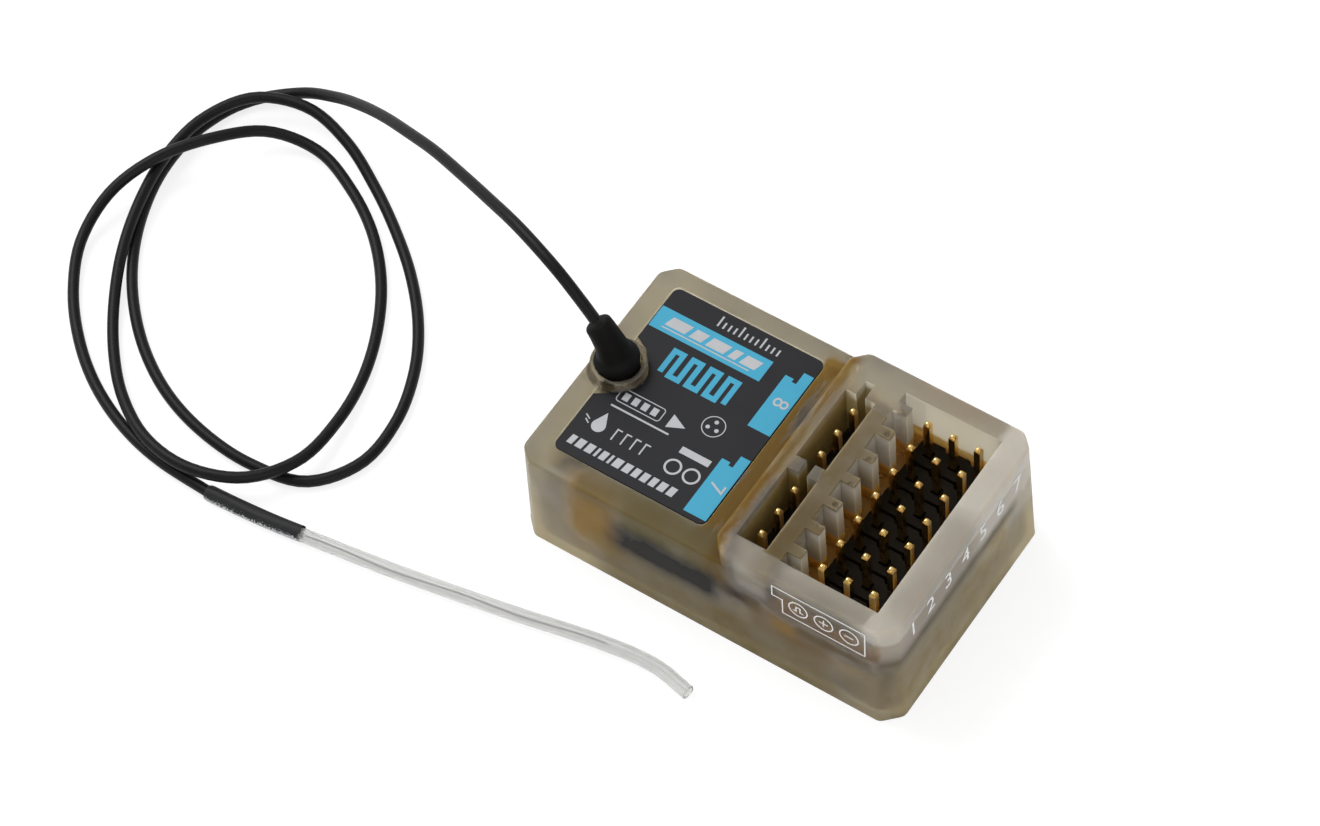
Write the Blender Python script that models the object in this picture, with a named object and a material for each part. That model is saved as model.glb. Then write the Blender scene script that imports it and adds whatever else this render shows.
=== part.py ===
# A waterproof radio control receiver: a frosted case in two steps, a label on the low step, keyed
# plug wells with square pins in the high one, and a thin antenna lead that leaves by a rubber boot.
# Sizes are in metres. +X is the plug end, -X the antenna end, and the base rests on Z = 0.
import math

import bmesh
import bpy
from mathutils import Vector

# Case. Its length and width follow from the wells, the rims round them and the label deck
PLUG_BLOCK_HEIGHT = 0.01365
DECK_DROP = 0.002
DECK_LENGTH = 0.02
FRONT_RIM = 0.002
MIDDLE_WALL = 0.00157
END_RIM = 0.00287
SIDE_RIM = 0.00246
CORNER_CHAMFER = 0.0016
CORNER_RADIUS = 0.0009
CORNER_STEPS = 3
DRAFT = 0.0388
EDGE_RADIUS = 0.00035
FOOT_RADIUS = 0.0002
EDGE_STEPS = 3
WALL = 0.0013
DECK_THICKNESS = 0.0013
WELL_WALL = 0.0012
WELL_DEPTH = 0.0062

# Clearances
SEAT_GAP = 0.00015
COVER_GAP = 0.00015
PIN_GAP = 0.0001
LEAD_GAP = 0.0003

# Pins and headers
PIN_PITCH = 0.00254
PIN_WIDTH = 0.00064
PIN_POINT = 0.00035
PIN_RECESS = 0.00015
PIN_TAIL = 0.0012
PINS_PER_PLUG = 3
HEADER_RECESS = 0.0052
HEADER_HEIGHT = 0.0025
HEADER_NOTCH = 0.0004

# Channel well, with its signal pins nearest the label
ROWS = 7
ROW_PITCH = 0.00279
PLUG_CLEARANCE = 0.0003
WELL_END_MARGIN = 0.00142
KEY_RIB_OFFSET = 0.00184
KEY_RIB_DEPTH = 0.0014
KEY_RIB_WIDTH = 0.00095

# Two plug wells in line beside it, joined by the key slot
SIDE_WELL_BACK = 0.00165
SIDE_WELL_FRONT = 0.00137
SIDE_WELL_MARGIN = 0.00141
SIDE_PLUG_COUNT = 2
SIDE_PLUG_PITCH = 0.00929
SIDE_PLUG_SHIFT = -0.001045
KEY_SLOT_WIDTH = 0.0009
KEY_SLOT_SHIFT = -0.00012
KEY_SLOT_REACH = 0.0016

# Label and its recess, set in from the case's outline at the base and from the plug block
LABEL_END_MARGIN = 0.00271
LABEL_BLOCK_MARGIN = 0.00163
LABEL_NEAR_MARGIN = 0.00292
LABEL_FAR_MARGIN = 0.0024
LABEL_CORNER = 0.0007
LABEL_CORNER_STEPS = 4
LABEL_THICKNESS = 0.00012
LABEL_RECESS = 0.00025
LABEL_EDGE_GAP = 0.0001

# Antenna collar and boot
COLLAR_INSET = 0.0032
COLLAR_Y = 0.0002
COLLAR_RADIUS = 0.00255
COLLAR_BORE = 0.0021
COLLAR_HEIGHT = 0.0006
COLLAR_BORE_DEPTH = 0.0009
COLLAR_SIDES = 32
BOOT_NECK_RADIUS = 0.001
BOOT_FLANGE_RADIUS = 0.00135
BOOT_FLANGE_HEIGHT = 0.0008
BOOT_FOOT_RADIUS = 0.0019
BOOT_BAND_HEIGHT = 0.00105
BOOT_STEP_HEIGHT = 0.0002
BOOT_WAIST_RADIUS = 0.00165
BOOT_TIP_RADIUS = 0.00125
BOOT_TIP_ROUND = 0.0003
BOOT_LENGTH = 0.0062
BOOT_LEAN = math.radians(38.0)
BOOT_BEARING = math.radians(176.0)
BOOT_STEPS = 9
ROUND_SIDES = 20
SMOOTH_ANGLE = math.radians(40.0)

# Board and base
BOARD_THICKNESS = 0.001
BOARD_GAP = 0.00025
BOARD_HOLE_RADIUS = 0.0005
BASE_THICKNESS = 0.0012
BASE_RIM_HEIGHT = 0.0009
BASE_RIM_WIDTH = 0.0008
POST_RADIUS = 0.0007
POST_CLEARANCE = 0.00027
POST_BITE = 0.00035
POST_SIDES = 16

# Parts on the board, set out from the sealing layer and the near edge of the board
PART_SPACE = 0.0006
SHIELD_LENGTH = 0.01
SHIELD_WIDTH = 0.007
SHIELD_HEIGHT = 0.0026
SHIELD_CORNER = 0.0004
SHIELD_CORNER_STEPS = 3
SHIELD_EDGE = 0.0002
VENT_COLUMNS = 5
VENT_ROWS = 3
VENT_SIDES = 8
VENT_PITCH = 0.0017
VENT_RADIUS = 0.0004
VENT_DEPTH = 0.0002
PROCESSOR_SIZE = 0.006
PROCESSOR_HEIGHT = 0.0009
PROCESSOR_LEAD_COUNT = 11
PROCESSOR_LEAD_PITCH = 0.0005
PROCESSOR_LEAD_WIDTH = 0.00022
PROCESSOR_LEAD_THICKNESS = 0.0002
PROCESSOR_LEAD_LEVEL = 0.00022
PROCESSOR_CORNER = 0.00022
PROCESSOR_LEAD_REACH = 0.0006
CRYSTAL_LENGTH = 0.0032
CRYSTAL_WIDTH = 0.0025
CRYSTAL_HEIGHT = 0.0009
REGULATOR_LENGTH = 0.0035
REGULATOR_WIDTH = 0.0065
REGULATOR_HEIGHT = 0.0017
CAPACITOR_LENGTH = 0.0035
CAPACITOR_WIDTH = 0.0028
CAPACITOR_HEIGHT = 0.0019
CAPACITOR_COUNT = 2
LIGHT_LENGTH = 0.0016
LIGHT_WIDTH = 0.0008
LIGHT_HEIGHT = 0.0007
PACKAGE_EDGE = 0.0002
PACKAGE_TAPER = 0.00007
PACKAGE_CORNER = 0.00015
JACK_SIZE = 0.003
JACK_HEIGHT = 0.0006
JACK_CORNER = 0.0003
JACK_BARREL_RADIUS = 0.001
JACK_BARREL_HEIGHT = 0.0006
JACK_REACH = 0.0026
PLUG_RADIUS = 0.0013
PLUG_HEIGHT = 0.0006
SEALANT_RIM = 0.001

# Antenna lead and what it carries
LEAD_RADIUS = 0.00055
LEAD_SPACING = 0.004
LEAD_RUN_OUT = 0.0022
INNER_LEAD_RADIUS = 0.00045
INNER_LEAD_SPACING = 0.0005
INNER_LEAD_RUN = 0.0004
SHRINK_RADIUS = 0.00076
SLEEVE_RADIUS = 0.00066
SLEEVE_WALL = 0.0002
ELEMENT_RADIUS = 0.00012
ELEMENT_LENGTH = 0.0285
ELEMENT_SPACING = 0.0014
SLEEVE_SIDES = 12
SLEEVE_SPACING = 0.0026
CORD_BEVEL_STEPS = 2
ROUTE_STEPS = 24

# The lead's route from the boot: over to the left, then two and a half loose loops on the table
LEAD_ROUTE = [
    (-0.0229, 0.0011, 0.02108),
    (-0.0279, 0.0029, 0.02119),
    (-0.0327, 0.0049, 0.01963),
    (-0.0373, 0.0069, 0.01772),
    (-0.0419, 0.0089, 0.01559),
    (-0.0464, 0.0107, 0.01314),
    (-0.0507, 0.0125, 0.01041),
    (-0.0549, 0.0141, 0.00745),
    (-0.0592, 0.0153, 0.00444),
    (-0.0639, 0.0154, 0.00180),
    (-0.0682, 0.0127, 0.00058),
    (-0.0703, 0.0078, 0.00058),
    (-0.0704, 0.0023, 0.00061),
    (-0.0690, -0.0029, 0.00058),
    (-0.0665, -0.0077, 0.00058),
    (-0.0631, -0.0119, 0.00058),
    (-0.0590, -0.0154, 0.00058),
    (-0.0543, -0.0180, 0.00059),
    (-0.0491, -0.0195, 0.00058),
    (-0.0437, -0.0199, 0.00058),
    (-0.0384, -0.0188, 0.00058),
    (-0.0353, -0.0146, 0.00058),
    (-0.0352, -0.0093, 0.00059),
    (-0.0369, -0.0041, 0.00062),
    (-0.0397, 0.0004, 0.00059),
    (-0.0434, 0.0044, 0.00058),
    (-0.0476, 0.0078, 0.00058),
    (-0.0521, 0.0108, 0.00064),
    (-0.0569, 0.0132, 0.00141),
    (-0.0621, 0.0142, 0.00210),
    (-0.0671, 0.0124, 0.00232),
    (-0.0699, 0.0079, 0.00215),
    (-0.0703, 0.0025, 0.00201),
    (-0.0693, -0.0027, 0.00185),
    (-0.0675, -0.0078, 0.00142),
    (-0.0649, -0.0126, 0.00080),
    (-0.0616, -0.0169, 0.00071),
    (-0.0577, -0.0205, 0.00115),
    (-0.0530, -0.0231, 0.00167),
    (-0.0477, -0.0238, 0.00204),
    (-0.0426, -0.0220, 0.00213),
    (-0.0397, -0.0177, 0.00175),
    (-0.0395, -0.0123, 0.00113),
    (-0.0405, -0.0071, 0.00068),
    (-0.0425, -0.0021, 0.00058),
    (-0.0454, 0.0025, 0.00058),
    (-0.0492, 0.0064, 0.00065),
    (-0.0537, 0.0093, 0.00079),
    (-0.0588, 0.0112, 0.00100),
    (-0.0638, 0.0101, 0.00192),
    (-0.0672, 0.0061, 0.00314),
    (-0.0702, 0.0016, 0.00325),
    (-0.0722, -0.0032, 0.00213),
    (-0.0719, -0.0084, 0.00097),
    (-0.0693, -0.0131, 0.00064),
    (-0.0656, -0.0171, 0.00058),
    (-0.0613, -0.0203, 0.00058),
    (-0.0564, -0.0226, 0.00058),
    (-0.0512, -0.0239, 0.00064),
    (-0.0458, -0.0242, 0.00078),
]
SHRINK_ROUTE = [(-0.0452, -0.0244, 0.00078), (-0.0403, -0.0241, 0.00078), (-0.0353, -0.0235, 0.00078)]
SLEEVE_ROUTE = [
    (-0.0350, -0.0235, 0.00070),
    (-0.0257, -0.0222, 0.00068),
    (-0.0158, -0.0205, 0.00068),
    (-0.0066, -0.0187, 0.00068),
    (-0.0013, -0.0182, 0.00068),
    (0.0027, -0.0189, 0.00068),
]

PIN_SPAN = (PINS_PER_PLUG - 1) * PIN_PITCH
SIDE_WELL_LENGTH = SIDE_WELL_BACK + SIDE_WELL_FRONT
CHANNEL_WELL_LENGTH = KEY_RIB_DEPTH + KEY_RIB_OFFSET + PIN_SPAN + WELL_END_MARGIN
CHANNEL_REACH = ((ROWS - 1) * ROW_PITCH + PIN_PITCH) / 2 + PLUG_CLEARANCE
CASE_LENGTH = DECK_LENGTH + FRONT_RIM + SIDE_WELL_LENGTH + MIDDLE_WALL + CHANNEL_WELL_LENGTH + END_RIM
HALF_LENGTH = CASE_LENGTH / 2
HALF_WIDTH = CHANNEL_REACH + SIDE_RIM
BLOCK_START = DECK_LENGTH - HALF_LENGTH
SIDE_WELL_X0 = BLOCK_START + FRONT_RIM
SIDE_PIN_X = SIDE_WELL_X0 + SIDE_WELL_BACK
SIDE_WELL_X1 = SIDE_PIN_X + SIDE_WELL_FRONT
CHANNEL_WELL_X0 = SIDE_WELL_X1 + MIDDLE_WALL
CHANNEL_WELL_X1 = CHANNEL_WELL_X0 + CHANNEL_WELL_LENGTH
SIGNAL_PIN_X = CHANNEL_WELL_X0 + KEY_RIB_DEPTH + KEY_RIB_OFFSET
LABEL_DECK_HEIGHT = PLUG_BLOCK_HEIGHT - DECK_DROP
LABEL_X0 = LABEL_END_MARGIN - HALF_LENGTH
LABEL_X1 = BLOCK_START - LABEL_BLOCK_MARGIN
LABEL_Y0 = LABEL_NEAR_MARGIN - HALF_WIDTH
LABEL_Y1 = HALF_WIDTH - LABEL_FAR_MARGIN
COLLAR_X = COLLAR_INSET - HALF_LENGTH
SEALANT_START = BLOCK_START + SEALANT_RIM
WELL_FLOOR = PLUG_BLOCK_HEIGHT - WELL_DEPTH
HEADER_TOP = PLUG_BLOCK_HEIGHT - HEADER_RECESS
HEADER_BOTTOM = HEADER_TOP - HEADER_HEIGHT
BOARD_TOP = HEADER_BOTTOM - SEAT_GAP
BOARD_BOTTOM = BOARD_TOP - BOARD_THICKNESS
DECK_UNDERSIDE = LABEL_DECK_HEIGHT - DECK_THICKNESS
LABEL_FLOOR = LABEL_DECK_HEIGHT - LABEL_RECESS
BORE_FLOOR = LABEL_DECK_HEIGHT + COLLAR_HEIGHT - COLLAR_BORE_DEPTH
INNER_CHAMFER = CORNER_CHAMFER - WALL * (2 - math.sqrt(2))
CUT_MARGIN = 0.001


def clear_scene():
    for thing in list(bpy.data.objects):
        bpy.data.objects.remove(thing)


def make_material(name, colour, roughness, metallic=0.0, alpha=1.0):
    material = bpy.data.materials.new(name)
    material.use_nodes = True
    shader = material.node_tree.nodes["Principled BSDF"]
    shader.inputs["Base Color"].default_value = (*colour, 1.0)
    shader.inputs["Roughness"].default_value = roughness
    shader.inputs["Metallic"].default_value = metallic
    shader.inputs["Alpha"].default_value = alpha
    return material


def add_object(name, mesh, material=None):
    thing = bpy.data.objects.new(name, mesh)
    if material:
        mesh.materials.append(material)
    bpy.context.scene.collection.objects.link(thing)
    return thing


def mesh_from(bm, name):
    bmesh.ops.recalc_face_normals(bm, faces=bm.faces)
    mesh = bpy.data.meshes.new(name)
    bm.to_mesh(mesh)
    bm.free()
    return mesh


def add_rings(bm, rings, closed=False):
    """Skin a list of rings of points, with a cap at each end or, if closed, joined in a loop."""
    loops = [[bm.verts.new(point) for point in ring] for ring in rings]
    pairs = list(zip(loops, loops[1:]))
    if closed:
        pairs.append((loops[-1], loops[0]))
    else:
        bm.faces.new(loops[0])
        bm.faces.new(loops[-1])
    count = len(loops[0])
    for lower, upper in pairs:
        for i in range(count):
            j = (i + 1) % count
            bm.faces.new((lower[i], lower[j], upper[j], upper[i]))


def loft(name, rings, closed=False):
    bm = bmesh.new()
    add_rings(bm, rings, closed)
    return mesh_from(bm, name)


def octagon(x0, x1, y0, y1, chamfer):
    """A rectangle with its four corners cut, anticlockwise."""
    return [
        (x0 + chamfer, y0),
        (x1 - chamfer, y0),
        (x1, y0 + chamfer),
        (x1, y1 - chamfer),
        (x1 - chamfer, y1),
        (x0 + chamfer, y1),
        (x0, y1 - chamfer),
        (x0, y0 + chamfer),
    ]


def rectangle(x0, x1, y0, y1):
    return [(x0, y0), (x1, y0), (x1, y1), (x0, y1)]


def circle(x, y, radius, sides):
    turns = [2 * math.pi * i / sides for i in range(sides)]
    return [(x + radius * math.cos(turn), y + radius * math.sin(turn)) for turn in turns]


def rounded_rectangle(x0, x1, y0, y1, radius, steps):
    points = []
    corners = ((x1 - radius, y1 - radius), (x0 + radius, y1 - radius),
               (x0 + radius, y0 + radius), (x1 - radius, y0 + radius))
    for corner, (cx, cy) in enumerate(corners):
        for step in range(steps + 1):
            turn = math.radians(90) * (corner + step / steps)
            points.append((cx + radius * math.cos(turn), cy + radius * math.sin(turn)))
    return points


def round_corners(outline, radius, steps):
    """A convex outline, anticlockwise, with an arc in place of each corner."""
    points = []
    for i, corner in enumerate(outline):
        here = Vector(corner)
        before = (Vector(outline[i - 1]) - here).normalized()
        after = (Vector(outline[(i + 1) % len(outline)]) - here).normalized()
        half = before.angle(after) / 2
        centre = here + (before + after).normalized() * (radius / math.sin(half))
        start = here + before * (radius / math.tan(half)) - centre
        for step in range(steps + 1):
            turn = math.atan2(start.y, start.x) + (math.pi - 2 * half) * step / steps
            points.append((centre.x + radius * math.cos(turn), centre.y + radius * math.sin(turn)))
    return points


def at_height(outline, z):
    return [(x, y, z) for x, y in outline]


def prism(name, outline, z0, z1):
    return loft(name, [at_height(outline, z0), at_height(outline, z1)])


def add_prisms(name, outlines, z0, z1):
    """Several prisms in one mesh, for use as one cutter."""
    bm = bmesh.new()
    for outline in outlines:
        add_rings(bm, [at_height(outline, z0), at_height(outline, z1)])
    return mesh_from(bm, name)


def inset_case(x0, inset):
    """The case's outline at the base, from x0 to the plug end, moved in by an even inset."""
    chamfer = CORNER_CHAMFER - inset * (2 - math.sqrt(2))
    return octagon(x0 + inset, HALF_LENGTH - inset, inset - HALF_WIDTH, HALF_WIDTH - inset, chamfer)


def case_rings(x0, height):
    """Drafted walls with rounded corners, a rounded foot and a rounded top edge."""
    levels = []
    for step in range(EDGE_STEPS + 1):
        turn = math.radians(90) * (1 - step / EDGE_STEPS)
        z = FOOT_RADIUS * (1 - math.sin(turn))
        inset = FOOT_RADIUS * (1 - math.cos(math.radians(90) - turn))
        levels.append((z, inset))
    for step in range(EDGE_STEPS + 1):
        turn = math.radians(90) * step / EDGE_STEPS
        levels.append((height - EDGE_RADIUS * (1 - math.sin(turn)), EDGE_RADIUS * (1 - math.cos(turn))))
    rings = []
    for z, inset in levels:
        outline = inset_case(x0, DRAFT * z + inset)
        rings.append(at_height(round_corners(outline, CORNER_RADIUS - inset, CORNER_STEPS), z))
    return rings


def cavity_rings(z1):
    """The hollow inside the drafted walls, from below the base up to z1."""
    z0 = -CUT_MARGIN
    return [at_height(inset_case(-HALF_LENGTH, DRAFT * z + WALL), z) for z in (z0, z1)]


def hide_as_tool(thing):
    thing.hide_render = True
    thing.display_type = "WIRE"
    thing.hide_set(True)


def combine(target, mesh, operation):
    """Cut, join or trim the target with a mesh that stays hidden as its tool."""
    tool = add_object("tool_" + mesh.name, mesh)
    hide_as_tool(tool)
    boolean = target.modifiers.new(mesh.name, "BOOLEAN")
    boolean.operation = operation
    boolean.object = tool


def shade_round(mesh):
    mesh.shade_smooth()
    mesh.set_sharp_from_angle(angle=SMOOTH_ANGLE)


def spread(count, pitch, middle=0.0):
    """Places of a row of like things, evenly spaced about its middle."""
    return [middle + (i - (count - 1) / 2) * pitch for i in range(count)]


def row_places():
    return spread(ROWS, ROW_PITCH)


def channel_pin_xs():
    return [SIGNAL_PIN_X + i * PIN_PITCH for i in range(PINS_PER_PLUG)]


def side_plug_centres():
    return spread(SIDE_PLUG_COUNT, SIDE_PLUG_PITCH, SIDE_PLUG_SHIFT)


def side_pin_ys(centre):
    return spread(PINS_PER_PLUG, PIN_PITCH, centre)


def all_pin_places():
    channel = [(x, y) for y in row_places() for x in channel_pin_xs()]
    side = [(SIDE_PIN_X, y) for centre in side_plug_centres() for y in side_pin_ys(centre)]
    return channel + side


def channel_well_outline():
    """One wide well with a key rib in its wall for each row of pins."""
    x0 = CHANNEL_WELL_X0
    x1 = CHANNEL_WELL_X1
    points = [(x1, -CHANNEL_REACH), (x1, CHANNEL_REACH), (x0, CHANNEL_REACH)]
    for y in reversed(row_places()):
        points.append((x0, y + KEY_RIB_WIDTH / 2))
        points.append((x0 + KEY_RIB_DEPTH, y + KEY_RIB_WIDTH / 2))
        points.append((x0 + KEY_RIB_DEPTH, y - KEY_RIB_WIDTH / 2))
        points.append((x0, y - KEY_RIB_WIDTH / 2))
    points.append((x0, -CHANNEL_REACH))
    return points


def side_well_outline():
    """Two wells in line. A key slot joins them and runs on past the second."""
    x0 = SIDE_WELL_X0
    x1 = SIDE_WELL_X1
    s0 = SIDE_PIN_X + KEY_SLOT_SHIFT - KEY_SLOT_WIDTH / 2
    s1 = s0 + KEY_SLOT_WIDTH
    half = PIN_SPAN / 2 + SIDE_WELL_MARGIN
    near, far = side_plug_centres()
    right = [(x1, near - half), (x1, near + half), (s1, near + half), (s1, far - half)]
    right += [(x1, far - half), (x1, far + half), (s1, far + half), (s1, far + half + KEY_SLOT_REACH)]
    left = [(s0, far + half + KEY_SLOT_REACH), (s0, far + half), (x0, far + half), (x0, far - half)]
    left += [(s0, far - half), (s0, near + half), (x0, near + half), (x0, near - half)]
    return right + left


def post_outlines(inset, signs):
    """Round posts in the corners of the case, their centres moved in by an even inset."""
    x = HALF_LENGTH - inset
    y = HALF_WIDTH - inset
    return [circle(sx * x, sy * y, POST_RADIUS, POST_SIDES) for sx, sy in signs]


def build_housing(material):
    """The upper shell: a low deck and a high plug block, hollowed from below and opened by the wells."""
    shell = loft("upper_housing", case_rings(-HALF_LENGTH, LABEL_DECK_HEIGHT))
    housing = add_object("upper_housing", shell, material)
    combine(housing, loft("plug_block", case_rings(BLOCK_START, PLUG_BLOCK_HEIGHT)), "UNION")

    recess = rounded_rectangle(LABEL_X0 - LABEL_EDGE_GAP, LABEL_X1 + LABEL_EDGE_GAP,
                               LABEL_Y0 - LABEL_EDGE_GAP, LABEL_Y1 + LABEL_EDGE_GAP,
                               LABEL_CORNER, LABEL_CORNER_STEPS)
    cutter = prism("label_recess", recess, LABEL_FLOOR, LABEL_DECK_HEIGHT + CUT_MARGIN)
    combine(housing, cutter, "DIFFERENCE")

    ring = circle(COLLAR_X, COLLAR_Y, COLLAR_RADIUS, COLLAR_SIDES)
    collar_top = LABEL_DECK_HEIGHT + COLLAR_HEIGHT
    combine(housing, prism("collar", ring, DECK_UNDERSIDE + SEAT_GAP, collar_top), "UNION")

    side_inset = WALL + DRAFT * DECK_UNDERSIDE
    deck_hollow = octagon(side_inset - HALF_LENGTH, SIDE_WELL_X0 - WELL_WALL,
                          side_inset - HALF_WIDTH, HALF_WIDTH - side_inset, INNER_CHAMFER)
    cutter = prism("deck_hollow", deck_hollow, WELL_FLOOR - CUT_MARGIN, DECK_UNDERSIDE)
    combine(housing, cutter, "DIFFERENCE")
    combine(housing, loft("lower_hollow", cavity_rings(WELL_FLOOR)), "DIFFERENCE")

    well_top = PLUG_BLOCK_HEIGHT + CUT_MARGIN
    well_base = WELL_FLOOR - CUT_MARGIN
    combine(housing, prism("channel_well", channel_well_outline(), well_base, well_top), "DIFFERENCE")
    combine(housing, prism("side_wells", side_well_outline(), well_base, well_top), "DIFFERENCE")

    bore = circle(COLLAR_X, COLLAR_Y, COLLAR_BORE, COLLAR_SIDES)
    combine(housing, prism("collar_bore", bore, BORE_FLOOR, collar_top + CUT_MARGIN), "DIFFERENCE")
    hole = circle(COLLAR_X, COLLAR_Y, BOOT_NECK_RADIUS + SEAT_GAP, ROUND_SIDES)
    combine(housing, prism("boot_hole", hole, DECK_UNDERSIDE - CUT_MARGIN, collar_top), "DIFFERENCE")

    # Posts over the board's corners, fused to the wall all the way up
    inset = DRAFT * BOARD_TOP + WALL + POST_BITE
    for i, post in enumerate(post_outlines(inset, ((-1, -1), (-1, 1)))):
        mesh = prism(f"hold_down_{i}", post, BOARD_TOP + SEAT_GAP, DECK_UNDERSIDE + SEAT_GAP)
        combine(housing, mesh, "UNION")


def build_base(material):
    """A plate that closes the case from below, with a locating rim and posts under the board."""
    rim_top = BASE_THICKNESS + BASE_RIM_HEIGHT
    outer_inset = WALL + COVER_GAP
    outer = [at_height(inset_case(-HALF_LENGTH, DRAFT * z + outer_inset), z) for z in (0.0, rim_top)]
    base = add_object("base_cover", loft("base_cover", outer), material)
    inner_inset = outer_inset + BASE_RIM_WIDTH
    inner = [at_height(inset_case(-HALF_LENGTH, DRAFT * z + inner_inset), z)
             for z in (BASE_THICKNESS, rim_top + CUT_MARGIN)]
    combine(base, loft("tray", inner), "DIFFERENCE")
    inset = DRAFT * BOARD_BOTTOM + WALL + POST_CLEARANCE + POST_RADIUS
    for i, post in enumerate(post_outlines(inset, ((-1, -1), (1, -1), (1, 1), (-1, 1)))):
        mesh = prism(f"base_post_{i}", post, BASE_THICKNESS / 2, BOARD_BOTTOM - SEAT_GAP)
        combine(base, mesh, "UNION")


def build_board(material):
    inset = WALL + BOARD_GAP + DRAFT * BOARD_TOP
    mesh = prism("circuit_board", inset_case(-HALF_LENGTH, inset), BOARD_BOTTOM, BOARD_TOP)
    board = add_object("circuit_board", mesh, material)
    holes = [circle(x, y, BOARD_HOLE_RADIUS, POST_SIDES) for x, y in all_pin_places()]
    cutter = add_prisms("board_holes", holes, BOARD_BOTTOM - CUT_MARGIN, BOARD_TOP + CUT_MARGIN)
    combine(board, cutter, "DIFFERENCE")


def build_label(material):
    """A sticker in its recess, with a round notch for the antenna collar."""
    outline = rounded_rectangle(LABEL_X0, LABEL_X1, LABEL_Y0, LABEL_Y1, LABEL_CORNER, LABEL_CORNER_STEPS)
    z0 = LABEL_FLOOR + LABEL_EDGE_GAP
    label = add_object("label", prism("label", outline, z0, z0 + LABEL_THICKNESS), material)
    notch = circle(COLLAR_X, COLLAR_Y, COLLAR_RADIUS + LABEL_EDGE_GAP, COLLAR_SIDES)
    cutter = prism("label_notch", notch, LABEL_FLOOR - CUT_MARGIN, LABEL_DECK_HEIGHT + CUT_MARGIN)
    combine(label, cutter, "DIFFERENCE")


def strip_outline(xs, ys):
    """A header strip's outline along X or Y, nicked between its pins."""
    half = PIN_PITCH / 2
    inner = half - HEADER_NOTCH
    along_x = len(xs) > 1
    places = xs if along_x else ys
    across = ys[0] if along_x else xs[0]
    front = [(places[0] - half, -inner)]
    for place in places:
        front += [(place - inner, -half), (place + inner, -half), (place + half, -inner)]
    back = [(place, -offset) for place, offset in reversed(front)]
    if along_x:
        return [(place, across + offset) for place, offset in front + back]
    return [(across - offset, place) for place, offset in front + back]


def build_header(name, xs, ys, material):
    mesh = prism(name, strip_outline(xs, ys), HEADER_BOTTOM, HEADER_TOP)
    header = add_object(name, mesh, material)
    half = PIN_WIDTH / 2 + PIN_GAP
    holes = [rectangle(x - half, x + half, y - half, y + half) for x in xs for y in ys]
    cutter = add_prisms(name + "_holes", holes, HEADER_BOTTOM - CUT_MARGIN, HEADER_TOP + CUT_MARGIN)
    combine(header, cutter, "DIFFERENCE")


def build_pin(name, x, y, mesh):
    pin = add_object(name, mesh)
    pin.location = (x, y, 0.0)


def pin_mesh(material):
    """A square pin with a blunt pyramid at each end."""
    half = PIN_WIDTH / 2
    tip = half - PIN_POINT / 2
    foot = BOARD_BOTTOM - PIN_TAIL
    top = PLUG_BLOCK_HEIGHT - PIN_RECESS
    levels = [(foot, tip), (foot + PIN_POINT, half), (top - PIN_POINT, half), (top, tip)]
    mesh = loft("pin", [at_height(rectangle(-r, r, -r, r), z) for z, r in levels])
    mesh.materials.append(material)
    return mesh


def build_sealant(material):
    """A cast sealing layer round the headers, between the board and the well walls."""
    inset = WALL + BOARD_GAP + DRAFT * WELL_FLOOR
    outline = octagon(SEALANT_START, HALF_LENGTH - inset, inset - HALF_WIDTH, HALF_WIDTH - inset,
                      INNER_CHAMFER)
    mesh = prism("header_sealant", outline, BOARD_TOP + SEAT_GAP, WELL_FLOOR - SEAT_GAP)
    sealant = add_object("header_sealant", mesh, material)
    half = PIN_PITCH / 2 + SEAT_GAP
    xs = channel_pin_xs()
    ys = row_places()
    blocks = [rectangle(xs[0] - half, xs[-1] + half, ys[0] - half, ys[-1] + half)]
    for centre in side_plug_centres():
        places = side_pin_ys(centre)
        blocks.append(rectangle(SIDE_PIN_X - half, SIDE_PIN_X + half, places[0] - half, places[-1] + half))
    cutter = add_prisms("header_places", blocks, BOARD_TOP - CUT_MARGIN, WELL_FLOOR + CUT_MARGIN)
    combine(sealant, cutter, "DIFFERENCE")


def boot_axis(s):
    """Centre and direction of the boot at height s above the bore's floor: upright, then bent over."""
    lean = BOOT_LEAN * max(0.0, min(1.0, s / BOOT_LENGTH))
    side = Vector((math.cos(BOOT_BEARING), math.sin(BOOT_BEARING), 0.0))
    origin = Vector((COLLAR_X, COLLAR_Y, BORE_FLOOR))
    if s <= 0:
        return origin + Vector((0.0, 0.0, s)), Vector((0.0, 0.0, 1.0))
    bend = BOOT_LENGTH / BOOT_LEAN
    centre = origin + side * (bend * (1 - math.cos(lean))) + Vector((0.0, 0.0, bend * math.sin(lean)))
    return centre, side * math.sin(lean) + Vector((0.0, 0.0, math.cos(lean)))


def ring_across(centre, direction, radius, sides):
    """A circle square to a direction, which may be any but the Y axis itself."""
    across = Vector((0.0, 1.0, 0.0)).cross(direction).normalized()
    other = direction.cross(across)
    turns = [2 * math.pi * i / sides for i in range(sides)]
    return [centre + radius * (across * math.cos(turn) + other * math.sin(turn)) for turn in turns]


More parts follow.
